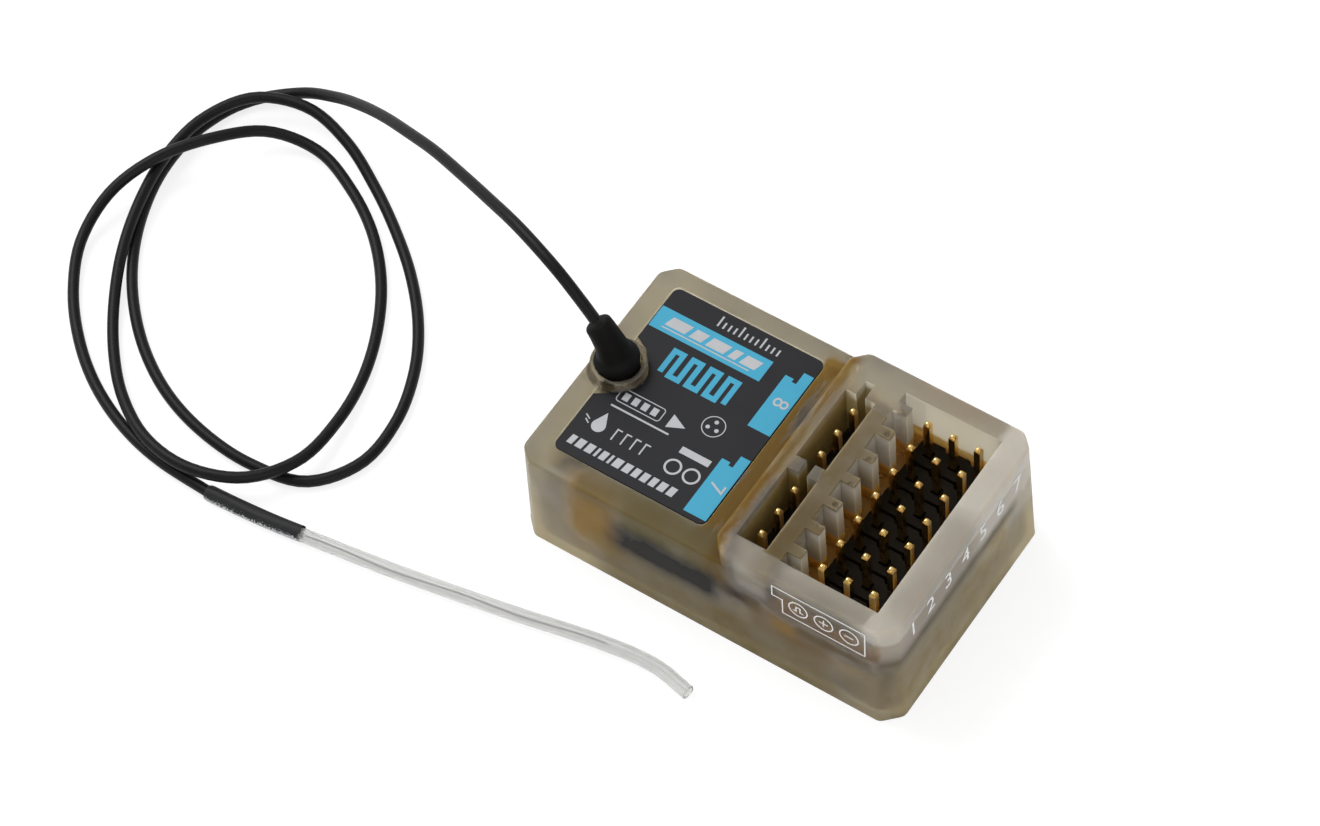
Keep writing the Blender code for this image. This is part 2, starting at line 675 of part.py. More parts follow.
def build_boot(material):
    """A rubber strain relief: a flange under the deck, a neck through it and a bent cone above."""
    under = DECK_UNDERSIDE - SEAT_GAP - BORE_FLOOR
    foot = SEAT_GAP
    band = foot + BOOT_BAND_HEIGHT
    waist = band + BOOT_STEP_HEIGHT
    profile = [(under - BOOT_FLANGE_HEIGHT, BOOT_FLANGE_RADIUS), (under, BOOT_FLANGE_RADIUS)]
    profile += [(under, BOOT_NECK_RADIUS), (foot, BOOT_NECK_RADIUS)]
    profile += [(foot, BOOT_FOOT_RADIUS), (band, BOOT_FOOT_RADIUS)]
    for step in range(BOOT_STEPS + 1):
        share = step / BOOT_STEPS
        radius = BOOT_WAIST_RADIUS + (BOOT_TIP_RADIUS - BOOT_WAIST_RADIUS) * share
        profile.append((waist + (BOOT_LENGTH - BOOT_TIP_ROUND - waist) * share, radius))
    profile.append((BOOT_LENGTH - BOOT_TIP_ROUND * 0.3, BOOT_TIP_RADIUS - BOOT_TIP_ROUND * 0.3))
    profile.append((BOOT_LENGTH, BOOT_TIP_RADIUS - BOOT_TIP_ROUND))
    rings = [ring_across(*boot_axis(s), radius, ROUND_SIDES) for s, radius in profile]
    mesh = loft("antenna_boot", rings)
    shade_round(mesh)
    add_object("antenna_boot", mesh, material)


def smooth_route(points, spacing):
    """Points at an even spacing on a smooth curve through the route's own points."""
    nodes = [Vector(point) for point in points]
    nodes = [2 * nodes[0] - nodes[1]] + nodes + [2 * nodes[-1] - nodes[-2]]
    fine = []
    for p0, p1, p2, p3 in zip(nodes, nodes[1:], nodes[2:], nodes[3:]):
        for step in range(ROUTE_STEPS):
            t = step / ROUTE_STEPS
            square = 2 * p0 - 5 * p1 + 4 * p2 - p3
            cube = 3 * p1 - p0 - 3 * p2 + p3
            fine.append((2 * p1 + (p2 - p0) * t + square * t ** 2 + cube * t ** 3) / 2)
    fine.append(nodes[-2])
    lengths = [0.0]
    for a, b in zip(fine, fine[1:]):
        lengths.append(lengths[-1] + (b - a).length)
    count = max(2, round(lengths[-1] / spacing))
    places = []
    index = 0
    for step in range(count + 1):
        target = lengths[-1] * step / count
        while index < len(fine) - 2 and lengths[index + 1] < target:
            index += 1
        share = (target - lengths[index]) / (lengths[index + 1] - lengths[index])
        places.append(fine[index].lerp(fine[index + 1], min(1.0, share)))
    return places


def lay_on_table(points, radius):
    return [Vector((p.x, p.y, max(p.z, radius))) for p in points]


def first_stretch(points, length):
    """The part of a route up to a given length along it."""
    kept = [points[0]]
    for a, b in zip(points, points[1:]):
        step = (b - a).length
        if step >= length:
            kept.append(a.lerp(b, length / step))
            break
        kept.append(b)
        length -= step
    return kept


def build_cord(name, points, radius, material):
    curve = bpy.data.curves.new(name, "CURVE")
    curve.dimensions = "3D"
    curve.bevel_depth = radius
    curve.bevel_resolution = CORD_BEVEL_STEPS
    curve.use_fill_caps = True
    spline = curve.splines.new("POLY")
    spline.points.add(len(points) - 1)
    for place, point in zip(spline.points, points):
        place.co = (*point, 1.0)
    curve.materials.append(material)
    add_object(name, curve)


def build_sleeve(points, material):
    """A clear tube, open at both ends, swept as one wall along the route."""
    rings_out = []
    rings_in = []
    for i, point in enumerate(points):
        ahead = points[min(i + 1, len(points) - 1)] - points[max(i - 1, 0)]
        ahead.normalize()
        rings_out.append(ring_across(point, ahead, SLEEVE_RADIUS, SLEEVE_SIDES))
        rings_in.append(ring_across(point, ahead, SLEEVE_RADIUS - SLEEVE_WALL, SLEEVE_SIDES))
    mesh = loft("antenna_sleeve", rings_out + rings_in[::-1], closed=True)
    shade_round(mesh)
    add_object("antenna_sleeve", mesh, material)


def board_layout():
    """Centres of the parts on the board, each beside its neighbour with a set space between."""
    near = WALL + BOARD_GAP + DRAFT * BOARD_TOP - HALF_WIDTH + PART_SPACE
    right = SEALANT_START - PART_SPACE
    shield = (right - SHIELD_LENGTH / 2, near + SHIELD_WIDTH / 2)
    reach = PROCESSOR_SIZE / 2 + PROCESSOR_LEAD_REACH
    processor = (right - reach, near + SHIELD_WIDTH + PART_SPACE + reach)
    crystal = (processor[0] - reach - PART_SPACE - CRYSTAL_LENGTH / 2, processor[1])
    light = (processor[0], processor[1] + reach + PART_SPACE + LIGHT_WIDTH / 2)
    capacitor_x = right - SHIELD_LENGTH - PART_SPACE - CAPACITOR_LENGTH / 2
    pitch = CAPACITOR_WIDTH + PART_SPACE
    capacitors = [(capacitor_x, near + CAPACITOR_WIDTH / 2 + i * pitch) for i in range(CAPACITOR_COUNT)]
    jack = (COLLAR_X + JACK_REACH, near + CAPACITOR_COUNT * pitch + JACK_SIZE / 2)
    regulator = (crystal[0] - CRYSTAL_LENGTH / 2 - PART_SPACE - REGULATOR_LENGTH / 2,
                 jack[1] + JACK_SIZE / 2 + PART_SPACE + REGULATOR_WIDTH / 2)
    return {"shield": shield, "processor": processor, "crystal": crystal, "light": light,
            "capacitors": capacitors, "jack": jack, "regulator": regulator}


def build_shield(x, y, material):
    """A stamped can with a drawn edge and a grid of shallow vents in its lid."""
    z0 = BOARD_TOP + SEAT_GAP
    z1 = z0 + SHIELD_HEIGHT
    rings = []
    for z, inset in ((z0, 0.0), (z1 - SHIELD_EDGE, 0.0), (z1, SHIELD_EDGE)):
        reach_x = SHIELD_LENGTH / 2 - inset
        reach_y = SHIELD_WIDTH / 2 - inset
        outline = rounded_rectangle(x - reach_x, x + reach_x, y - reach_y, y + reach_y,
                                    SHIELD_CORNER, SHIELD_CORNER_STEPS)
        rings.append(at_height(outline, z))
    shield = add_object("radio_shield", loft("radio_shield", rings), material)
    dents = [circle(vent_x, vent_y, VENT_RADIUS, VENT_SIDES)
             for vent_x in spread(VENT_COLUMNS, VENT_PITCH, x)
             for vent_y in spread(VENT_ROWS, VENT_PITCH, y)]
    combine(shield, add_prisms("vent_holes", dents, z1 - VENT_DEPTH, z1 + CUT_MARGIN), "DIFFERENCE")


def build_processor(x, y, material):
    """A flat package with a row of short leads on each side."""
    half = PROCESSOR_SIZE / 2
    z0 = BOARD_TOP + SEAT_GAP
    body = octagon(x - half, x + half, y - half, y + half, PROCESSOR_CORNER)
    chip = add_object("processor", prism("processor", body, z0, z0 + PROCESSOR_HEIGHT), material)
    reach = half + PROCESSOR_LEAD_REACH
    lead = PROCESSOR_LEAD_WIDTH / 2
    offsets = spread(PROCESSOR_LEAD_COUNT, PROCESSOR_LEAD_PITCH)
    bars_x = [rectangle(x - reach, x + reach, y + o - lead, y + o + lead) for o in offsets]
    bars_y = [rectangle(x + o - lead, x + o + lead, y - reach, y + reach) for o in offsets]
    low = z0 + PROCESSOR_LEAD_LEVEL
    high = low + PROCESSOR_LEAD_THICKNESS
    combine(chip, add_prisms("leads_x", bars_x, low, high), "UNION")
    combine(chip, add_prisms("leads_y", bars_y, low, high), "UNION")


def build_package(name, place, length, width, height, material):
    """A moulded surface package whose top edge draws in a little."""
    x, y = place
    z0 = BOARD_TOP + SEAT_GAP
    levels = [(0.0, 0.0), (height / 2, 0.0), (height - PACKAGE_EDGE, PACKAGE_TAPER), (height, PACKAGE_EDGE)]
    rings = []
    for level, inset in levels:
        reach_x = length / 2 - inset
        reach_y = width / 2 - inset
        outline = octagon(x - reach_x, x + reach_x, y - reach_y, y + reach_y, PACKAGE_CORNER)
        rings.append(at_height(outline, z0 + level))
    add_object(name, loft(name, rings), material)


def build_jack(x, y, material):
    """The board's half of a snap-on coaxial joint: a square foot and a round barrel."""
    z0 = BOARD_TOP + SEAT_GAP
    half = JACK_SIZE / 2
    base = octagon(x - half, x + half, y - half, y + half, JACK_CORNER)
    jack = add_object("coax_jack", prism("coax_jack", base, z0, z0 + JACK_HEIGHT), material)
    barrel = circle(x, y, JACK_BARREL_RADIUS, ROUND_SIDES)
    mesh = prism("jack_barrel", barrel, z0 + JACK_HEIGHT / 2, z0 + JACK_HEIGHT + JACK_BARREL_HEIGHT)
    combine(jack, mesh, "UNION")


def coax_plug_levels():
    """The plug's lower edge, the underside of its crown and its top."""
    jack_top = BOARD_TOP + SEAT_GAP + JACK_HEIGHT
    crown = jack_top + JACK_BARREL_HEIGHT + SEAT_GAP
    return jack_top + SEAT_GAP, crown, crown + PLUG_HEIGHT


def build_coax_plug(x, y, material):
    """A cap that sits over the jack's barrel."""
    edge, crown, top = coax_plug_levels()
    mesh = prism("coax_plug", circle(x, y, PLUG_RADIUS, ROUND_SIDES), edge, top)
    plug = add_object("coax_plug", mesh, material)
    bore = circle(x, y, JACK_BARREL_RADIUS + PIN_GAP, ROUND_SIDES)
    combine(plug, prism("plug_bore", bore, edge - CUT_MARGIN, crown), "DIFFERENCE")


def build_inner_lead(x, y, material):
    """The lead's short run from the boot's flange down to the plug on the board."""
    flange, up = boot_axis(DECK_UNDERSIDE - SEAT_GAP - BOOT_FLANGE_HEIGHT - BORE_FLOOR)
    start = flange - up * SEAT_GAP
    end = Vector((x, y, coax_plug_levels()[-1] + SEAT_GAP))
    run = up * INNER_LEAD_RUN
    points = smooth_route([start, start - run, end + run, end], INNER_LEAD_SPACING)
    build_cord("inner_lead", points, INNER_LEAD_RADIUS, material)


def build_antenna(lead_material, shrink_material, sleeve_material, element_material):
    """The loose lead, the heat-shrink at its end, and the clear sleeve with its bare element."""
    tip, direction = boot_axis(BOOT_LENGTH)
    start = tip + direction * LEAD_GAP
    route = [start, start + direction * LEAD_RUN_OUT] + LEAD_ROUTE
    lead = lay_on_table(smooth_route(route, LEAD_SPACING), LEAD_RADIUS)
    build_cord("antenna_lead", lead, LEAD_RADIUS, lead_material)
    shrink = lay_on_table(smooth_route(SHRINK_ROUTE, SLEEVE_SPACING), SHRINK_RADIUS)
    build_cord("antenna_heatshrink", shrink, SHRINK_RADIUS, shrink_material)
    build_sleeve(lay_on_table(smooth_route(SLEEVE_ROUTE, SLEEVE_SPACING), SLEEVE_RADIUS), sleeve_material)
    middle = lay_on_table(smooth_route(SLEEVE_ROUTE, ELEMENT_SPACING), SLEEVE_RADIUS)
    build_cord("antenna_element", first_stretch(middle, ELEMENT_LENGTH), ELEMENT_RADIUS, element_material)


def build_receiver():
    clear_scene()
    frosted = make_material("frosted_plastic", (0.42, 0.38, 0.31), 0.45, alpha=0.6)
    black = make_material("header_plastic", (0.015, 0.015, 0.016), 0.5)
    gold = make_material("gold_plate", (0.83, 0.56, 0.22), 0.25, metallic=1.0)
    steel = make_material("tinned_steel", (0.6, 0.6, 0.58), 0.35, metallic=1.0)
    board_mask = make_material("board_mask", (0.03, 0.06, 0.03), 0.45)
    sticker = make_material("label_film", (0.02, 0.02, 0.024), 0.4)
    amber = make_material("amber_sealant", (0.35, 0.17, 0.03), 0.3)
    tantalum = make_material("tantalum_case", (0.55, 0.3, 0.05), 0.45)
    lamp = make_material("light_lens", (0.5, 0.06, 0.04), 0.25)
    rubber = make_material("boot_rubber", (0.012, 0.012, 0.012), 0.6)
    jacket = make_material("lead_jacket", (0.01, 0.01, 0.011), 0.4)
    shrink = make_material("shrink_tube", (0.02, 0.021, 0.022), 0.5)
    clear = make_material("clear_sleeve", (0.62, 0.62, 0.6), 0.25, alpha=0.5)

    build_housing(frosted)
    build_base(frosted)
    build_board(board_mask)
    build_label(sticker)
    build_sealant(amber)

    xs = channel_pin_xs()
    mesh = pin_mesh(gold)
    for row, y in enumerate(row_places(), 1):
        build_header(f"servo_header_{row}", xs, [y], black)
        for column, x in enumerate(xs, 1):
            build_pin(f"servo_pin_{row}_{column}", x, y, mesh)
    for plug, centre in enumerate(side_plug_centres(), 1):
        ys = side_pin_ys(centre)
        build_header(f"side_header_{plug}", [SIDE_PIN_X], ys, black)
        for place, y in enumerate(ys, 1):
            build_pin(f"side_pin_{plug}_{place}", SIDE_PIN_X, y, mesh)

    places = board_layout()
    build_shield(*places["shield"], steel)
    build_processor(*places["processor"], black)
    build_package("crystal", places["crystal"], CRYSTAL_LENGTH, CRYSTAL_WIDTH, CRYSTAL_HEIGHT, steel)
    build_package("regulator", places["regulator"], REGULATOR_LENGTH, REGULATOR_WIDTH, REGULATOR_HEIGHT,
                  black)
    for i, place in enumerate(places["capacitors"], 1):
        build_package(f"capacitor_{i}", place, CAPACITOR_LENGTH, CAPACITOR_WIDTH, CAPACITOR_HEIGHT, tantalum)
    build_package("status_light", places["light"], LIGHT_LENGTH, LIGHT_WIDTH, LIGHT_HEIGHT, lamp)
    build_jack(*places["jack"], gold)
    build_coax_plug(*places["jack"], steel)
    build_inner_lead(*places["jack"], jacket)
    build_boot(rubber)
    build_antenna(jacket, shrink, clear, steel)


build_receiver()
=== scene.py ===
# A waterproof radio control receiver and its antenna lead, dressed for a studio picture.
import math
import random

import bmesh
import bpy
from mathutils import Matrix, Vector


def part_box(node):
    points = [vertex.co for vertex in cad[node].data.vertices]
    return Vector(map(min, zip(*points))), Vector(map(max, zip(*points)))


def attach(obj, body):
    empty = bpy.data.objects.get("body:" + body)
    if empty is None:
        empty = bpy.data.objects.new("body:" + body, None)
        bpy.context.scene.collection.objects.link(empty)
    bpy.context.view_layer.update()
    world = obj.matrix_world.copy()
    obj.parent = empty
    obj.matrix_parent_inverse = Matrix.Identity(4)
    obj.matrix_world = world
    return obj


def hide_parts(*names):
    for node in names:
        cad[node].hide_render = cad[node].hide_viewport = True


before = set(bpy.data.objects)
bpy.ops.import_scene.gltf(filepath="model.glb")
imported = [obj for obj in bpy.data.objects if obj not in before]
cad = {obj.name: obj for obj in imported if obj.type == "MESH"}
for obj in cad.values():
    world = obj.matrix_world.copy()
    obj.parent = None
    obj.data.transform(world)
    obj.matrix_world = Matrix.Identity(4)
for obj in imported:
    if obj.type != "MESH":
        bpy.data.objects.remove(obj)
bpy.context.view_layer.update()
mm = 0.001                 # lengths are in metres, and in millimetres where a note says so
print("frame loaded:", len(cad), "nodes")


def addObject(name, data):
    thing = bpy.data.objects.new(name, data)
    bpy.context.scene.collection.objects.link(thing)
    return thing


# Camera

cameraPlan = {
    "target": (-0.01561, 0.00405, 0.0),
    "azimuth": 39.48,      # degrees round from the near side towards the plug end
    "elevation": 56.73,
    "roll": -6.84,
    "distance": 0.404,
    "lens": 122.73,
    "sensor": 36.0,
    "nearest": 0.01,
}


def placeCamera(plan):
    azimuth, elevation, roll = (math.radians(plan[key]) for key in ("azimuth", "elevation", "roll"))
    level = math.cos(elevation)
    back = Vector((math.sin(azimuth) * level, -math.cos(azimuth) * level, math.sin(elevation)))
    right = Vector((math.cos(azimuth), math.sin(azimuth), 0.0))
    up = back.cross(right)
    tiltedRight = right * math.cos(roll) + up * math.sin(roll)
    tiltedUp = up * math.cos(roll) - right * math.sin(roll)
    data = bpy.data.cameras.new("camera")
    data.lens = plan["lens"]
    data.sensor_width = plan["sensor"]
    data.clip_start = plan["nearest"]
    camera = addObject("camera", data)
    turned = Matrix((tiltedRight, tiltedUp, back)).transposed().to_4x4()
    place = Vector(plan["target"]) + back * plan["distance"]
    camera.matrix_world = Matrix.Translation(place) @ turned
    bpy.context.scene.camera = camera


placeCamera(cameraPlan)
bpy.context.scene.view_settings.view_transform = "Standard"


# Shader maths as plain sums

class Signal:              # one output of a node, usable in sums and products
    def __init__(self, finish, node, output=0):
        self.finish = finish
        self.node = node
        self.output = output

    def __getitem__(self, output):
        return Signal(self.finish, self.node, output)

    def socket(self):
        return pickSocket(self.node.outputs, self.output)

    def maths(self, operation, *terms):
        return self.finish.node("ShaderNodeMath", {"operation": operation}, dict(enumerate(terms)))

    def __add__(self, other):
        return self.maths("ADD", self, other)

    def __radd__(self, other):
        return self.maths("ADD", other, self)

    def __sub__(self, other):
        return self.maths("SUBTRACT", self, other)

    def __rsub__(self, other):
        return self.maths("SUBTRACT", other, self)

    def __mul__(self, other):
        return self.maths("MULTIPLY", self, other)

    def __rmul__(self, other):
        return self.maths("MULTIPLY", other, self)

    def __abs__(self):
        return self.maths("ABSOLUTE", self)


def pickSocket(sockets, key):
    if isinstance(key, int):
        return sockets[key]
    for socket in sockets:
        if socket.enabled and key in (socket.name, socket.identifier):
            return socket
    raise KeyError(key)


class Finish:              # one material's node tree
    def __init__(self, name):
        self.material = bpy.data.materials.new(name)
        self.material.use_nodes = True
        self.tree = self.material.node_tree
        self.shader = self.tree.nodes["Principled BSDF"]
        self.place = self.node("ShaderNodeTexCoord", {}, {})["Object"]

    def node(self, kind, settings, sockets):
        node = self.tree.nodes.new(kind)
        for key, value in settings.items():
            setattr(node, key, value)
        for key, value in sockets.items():
            self.fill(pickSocket(node.inputs, key), value)
        return Signal(self, node)

    def fill(self, socket, value):
        if isinstance(value, Signal):
            self.tree.links.new(value.socket(), socket)
        elif isinstance(value, tuple) and len(value) == 3 and socket.type == "RGBA":
            socket.default_value = (*value, 1.0)
        else:
            socket.default_value = value

    def set(self, **values):
        for key, value in values.items():
            self.fill(self.shader.inputs[key.replace("_", " ")], value)

    def grain(self, size, detail=3.0, roughness=0.55, stretch=(1.0, 1.0, 1.0)):   # size in millimetres
        sized = tuple(part / (size * mm) for part in stretch)
        scaled = self.node("ShaderNodeVectorMath", {"operation": "MULTIPLY"}, {0: self.place, 1: sized})
        return self.node("ShaderNodeTexNoise", {}, {"Vector": scaled, "Scale": 1.0, "Detail": detail,
                                                    "Roughness": roughness})

    def step(self, value, low, high):
        return self.node("ShaderNodeMapRange", {"interpolation_type": "SMOOTHSTEP"},
                         {"Value": value, "From Min": low, "From Max": high})

    def blend(self, factor, first, second):
        return self.node("ShaderNodeMix", {"data_type": "RGBA"},
                         {"Factor": factor, "A": first, "B": second})["Result"]

    def axes(self):                            # the place along x, y and z, in millimetres
        sized = self.node("ShaderNodeVectorMath", {"operation": "SCALE"}, {0: self.place, "Scale": 1 / mm})
        split = self.node("ShaderNodeSeparateXYZ", {}, {"Vector": sized})
        return split["X"], split["Y"], split["Z"]

    def cover(self, factor, shader):           # mix another shader over the first
        mixed = self.node("ShaderNodeMixShader", {}, {0: factor, 1: Signal(self, self.shader), 2: shader})
        self.tree.links.new(mixed.socket(), self.tree.nodes["Material Output"].inputs["Surface"])

    def bump(self, height, depth):
        self.set(Normal=self.node("ShaderNodeBump", {}, {"Height": height, "Distance": depth * mm}))


def makeFinish(name, look):                # an uneven tone and, where the look has them, dust and relief
    finish = Finish(name)
    tone = finish.grain(*look["tone"])
    colour = finish.blend(tone, *look["colours"])
    roughness = look["roughness"] + tone * look["uneven"]
    if "dust" in look:
        dust = finish.step(finish.grain(*look["dust"]), *look["dustEdge"])
        colour = finish.blend(dust * look["dustShare"], colour, look["dustColour"])
        roughness = roughness + dust * look.get("dustRoughness", 0.0)
    if "relief" in look:
        relief = finish.grain(*look["relief"])
        finish.bump(relief + tone * look["waves"] if "waves" in look else relief, look["depth"])
    finish.set(Base_Color=colour, Roughness=roughness, **look.get("fixed", {}))
    return finish


# Shared mesh tools

def addPiece(name, mesh, finish, slotName, *nodes):
    piece = addObject(name, mesh)
    mesh.materials.clear()
    mesh.materials.append(finish.material)
    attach(piece, "root")
    if nodes:
        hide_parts(*nodes)
    return piece


def evenShading(piece):                    # flat faces stay flat beside their rounded edges
    weighted = piece.modifiers.new("even_shading", "WEIGHTED_NORMAL")
    weighted.keep_sharp = True


def dressNode(name, finish):
    data = cad[name].data
    data.materials.clear()
    data.materials.append(finish.material)


def finishMesh(bm, name, angle=35.0):
    bmesh.ops.recalc_face_normals(bm, faces=bm.faces)
    mesh = bpy.data.meshes.new(name)
    bm.to_mesh(mesh)
    bm.free()
    mesh.shade_smooth()
    mesh.set_sharp_from_angle(angle=math.radians(angle))
    return mesh


def roundEdges(bm, edges, plan):
    bmesh.ops.bevel(bm, geom=edges, offset=plan["edge"], offset_type="OFFSET", segments=plan["edgeSteps"],
                    profile=0.5, affect="EDGES", clamp_overlap=True)


def addShape(name, bm, finish, slotName, *nodes, angle=35.0):
    return addPiece(name, finishMesh(bm, name, angle), finish, slotName, *nodes)


def addRings(name, rings, finish, slotName, node, angle=35.0, closed=False):
    bm = bmesh.new()
    bridgeRings(bm, rings, closed)
    return addShape(name, bm, finish, slotName, node, angle=angle)


def bridgeRings(bm, rings, closed=False):
    loops = [[bm.verts.new(point) for point in ring] for ring in rings]
    pairs = list(zip(loops, loops[1:]))
    if closed:
        pairs.append((loops[-1], loops[0]))
    else:
        bm.faces.new(loops[0])
        bm.faces.new(loops[-1])
    count = len(loops[0])
    for lower, upper in pairs:
        for i in range(count):
            bm.faces.new((lower[i], lower[(i + 1) % count], upper[(i + 1) % count], upper[i]))


def smoothRoute(points, spacing):          # even points on a smooth curve through the route's own
    nodes = [2 * points[0] - points[1], *points, 2 * points[-1] - points[-2]]
    fine = []
    stepsPerPoint = 24
    for p0, p1, p2, p3 in zip(nodes, nodes[1:], nodes[2:], nodes[3:]):
        for step in range(stepsPerPoint):
            t = step / stepsPerPoint
            square = 2 * p0 - 5 * p1 + 4 * p2 - p3
            cube = 3 * p1 - p0 - 3 * p2 + p3
            fine.append((2 * p1 + (p2 - p0) * t + square * t ** 2 + cube * t ** 3) / 2)
    fine.append(nodes[-2])
    lengths = [0.0]
    for a, b in zip(fine, fine[1:]):
        lengths.append(lengths[-1] + (b - a).length)
    count = max(2, round(lengths[-1] / spacing))
    places = []
    index = 0
    for step in range(count + 1):
        target = lengths[-1] * step / count
        while index < len(fine) - 2 and lengths[index + 1] < target:
            index += 1
        share = (target - lengths[index]) / (lengths[index + 1] - lengths[index])
        places.append(fine[index].lerp(fine[index + 1], min(1.0, share)))
    return places


def inMetres(points):
    return [Vector([part * mm for part in point]) for point in points]


def tableRoute(points, plan):              # even points along a route that sinks nowhere into the table
    places = smoothRoute(points, plan["spacing"])
    return [Vector((p.x, p.y, max(p.z, plan["radius"]))) for p in places]


def routeLength(points):
    return sum((b - a).length for a, b in zip(points, points[1:]))


def crossFrames(points):                   # a pair of axes at each point, carried along without twist
    frames = []
    across = Vector((0.0, 0.0, 1.0)).cross((points[1] - points[0]).normalized())
    for i in range(len(points)):
        ahead = (points[min(i + 1, len(points) - 1)] - points[max(i - 1, 0)]).normalized()
        across = (across - ahead * across.dot(ahead)).normalized()
        frames.append((across, ahead.cross(across)))
    return frames


def turnsOf(count):                        # the angles of even steps round a circle
    return [2 * math.pi * k / count for k in range(count)]


def tubeRings(points, radius, sides, change=None):   # change adds to the radius at a point and an angle
    rings = []
    for i, (point, (across, other)) in enumerate(zip(points, crossFrames(points))):
        ring = []
        for turn in turnsOf(sides):
            reach = radius + (change(i, turn) if change else 0.0)
            ring.append(point + reach * (across * math.cos(turn) + other * math.sin(turn)))
        rings.append(ring)
    return rings


# Antenna lead

leadPlan = {
    "radius": 0.00055,
    "spacing": 0.0009,
    "bevelSteps": 4,
    "gap": 0.0003,
    "runOut": 0.0022,
}
jacketLook = {             # grain sizes and depths are in millimetres here and in the other looks
    "tone": (0.9, 4.0),
    "colours": ((0.004, 0.0039, 0.004), (0.009, 0.0088, 0.0088)),
    "roughness": 0.38, "uneven": 0.12,
    "dust": (0.35, 6.0, 0.7), "dustEdge": (0.62, 0.72),
    "dustColour": (0.06, 0.058, 0.056), "dustShare": 0.5, "dustRoughness": 0.2,
    "relief": (0.12, 2.0), "waves": 2.0, "depth": 0.012,
    "fixed": {"Specular_IOR_Level": 0.15},
}
bootPlan = {
    "x": -0.0164,
    "y": 0.0002,
    "floor": 0.01135,      # the collar bore's floor
    "length": 0.0062,
    "lean": 38.0,
    "bearing": 176.0,
    "sides": 40,
    "profile": [           # height along the boot and radius there, in millimetres
        (-1.95, 1.2), (-1.85, 1.35), (-1.25, 1.35), (-1.15, 1.25), (-1.15, 1.0), (0.14, 1.0),
        (0.15, 1.75), (0.2, 1.86), (0.3, 1.9), (1.38, 1.9), (1.42, 1.98), (1.5, 2.05), (1.7, 2.1),
        (1.95, 2.08), (2.15, 2.0), (2.28, 1.88), (2.36, 1.76), (2.46, 1.66), (2.7, 1.58), (3.0, 1.52),
        (3.5, 1.45), (4.2, 1.37), (5.1, 1.3), (5.7, 1.26),
        (5.95, 1.23), (6.08, 1.16), (6.16, 1.04), (6.2, 0.85), (6.2, 0.6),
    ],
}
leadRoute = [              # millimetres, as the two routes below
    (-22.9, 1.1, 21.08), (-27.9, 2.9, 21.19), (-32.7, 4.9, 19.63),
    (-37.3, 6.9, 17.72), (-41.9, 8.9, 15.59), (-46.4, 10.7, 13.14),
    (-50.7, 12.5, 10.41), (-54.9, 14.1, 7.45), (-59.2, 15.3, 4.44),
    (-63.9, 15.4, 1.8), (-68.2, 12.7, 0.58), (-70.3, 7.8, 0.58),
    (-70.4, 2.3, 0.61), (-69.0, -2.9, 0.58), (-66.5, -7.7, 0.58),
    (-63.1, -11.9, 0.58), (-59.0, -15.4, 0.58), (-54.3, -18.0, 0.59),
    (-49.1, -19.5, 0.58), (-43.7, -19.9, 0.58), (-38.4, -18.8, 0.58),
    (-35.3, -14.6, 0.58), (-35.2, -9.3, 0.59), (-36.9, -4.1, 0.62),
    (-39.7, 0.4, 0.59), (-43.4, 4.4, 0.58), (-47.6, 7.8, 0.58),
    (-52.1, 10.8, 0.64), (-56.9, 13.2, 1.41), (-62.1, 14.2, 2.1),
    (-67.1, 12.4, 2.32), (-69.9, 7.9, 2.15), (-70.3, 2.5, 2.01),
    (-69.3, -2.7, 1.85), (-67.5, -7.8, 1.42), (-64.9, -12.6, 0.8),
    (-61.6, -16.9, 0.71), (-57.7, -20.5, 1.15), (-53.0, -23.1, 1.67),
    (-47.7, -23.8, 2.04), (-42.6, -22.0, 2.13), (-39.7, -17.7, 1.75),
    (-39.5, -12.3, 1.13), (-40.5, -7.1, 0.68), (-42.5, -2.1, 0.58),
    (-45.4, 2.5, 0.58), (-49.2, 6.4, 0.65), (-53.7, 9.3, 0.79),
    (-58.8, 11.2, 1.0), (-63.8, 10.1, 1.92), (-67.2, 6.1, 3.14),
    (-70.2, 1.6, 3.25), (-72.2, -3.2, 2.13), (-71.9, -8.4, 0.97),
    (-69.3, -13.1, 0.64), (-65.6, -17.1, 0.58), (-61.3, -20.3, 0.58),
    (-56.4, -22.6, 0.58), (-51.2, -23.9, 0.64),
    (-44.6, -24.37, 0.78),          # inside the heat-shrink
]
shrinkRoute = [(-45.2, -24.4, 0.78), (-40.3, -24.1, 0.78), (-35.3, -23.5, 0.78)]
sleeveRoute = [
    (-35.0, -23.5, 0.7),
    (-25.7, -22.2, 0.68),
    (-15.8, -20.5, 0.68),
    (-6.6, -18.7, 0.68),
    (-1.3, -18.2, 0.68),
    (2.7, -18.9, 0.68),
]


def bootAxis(s):           # centre and direction of the boot at height s: upright, then bent over
    plan = bootPlan
    lean = math.radians(plan["lean"]) * max(0.0, min(1.0, s / plan["length"]))
    bearing = math.radians(plan["bearing"])
    side = Vector((math.cos(bearing), math.sin(bearing), 0.0))
    origin = Vector((plan["x"], plan["y"], plan["floor"]))
    upright = Vector((0.0, 0.0, 1.0))
    bend = plan["length"] / math.radians(plan["lean"])
    rise = bend * math.sin(lean) + min(0.0, s)
    centre = origin + side * (bend * (1 - math.cos(lean))) + upright * rise
    return centre, side * math.sin(lean) + upright * math.cos(lean)


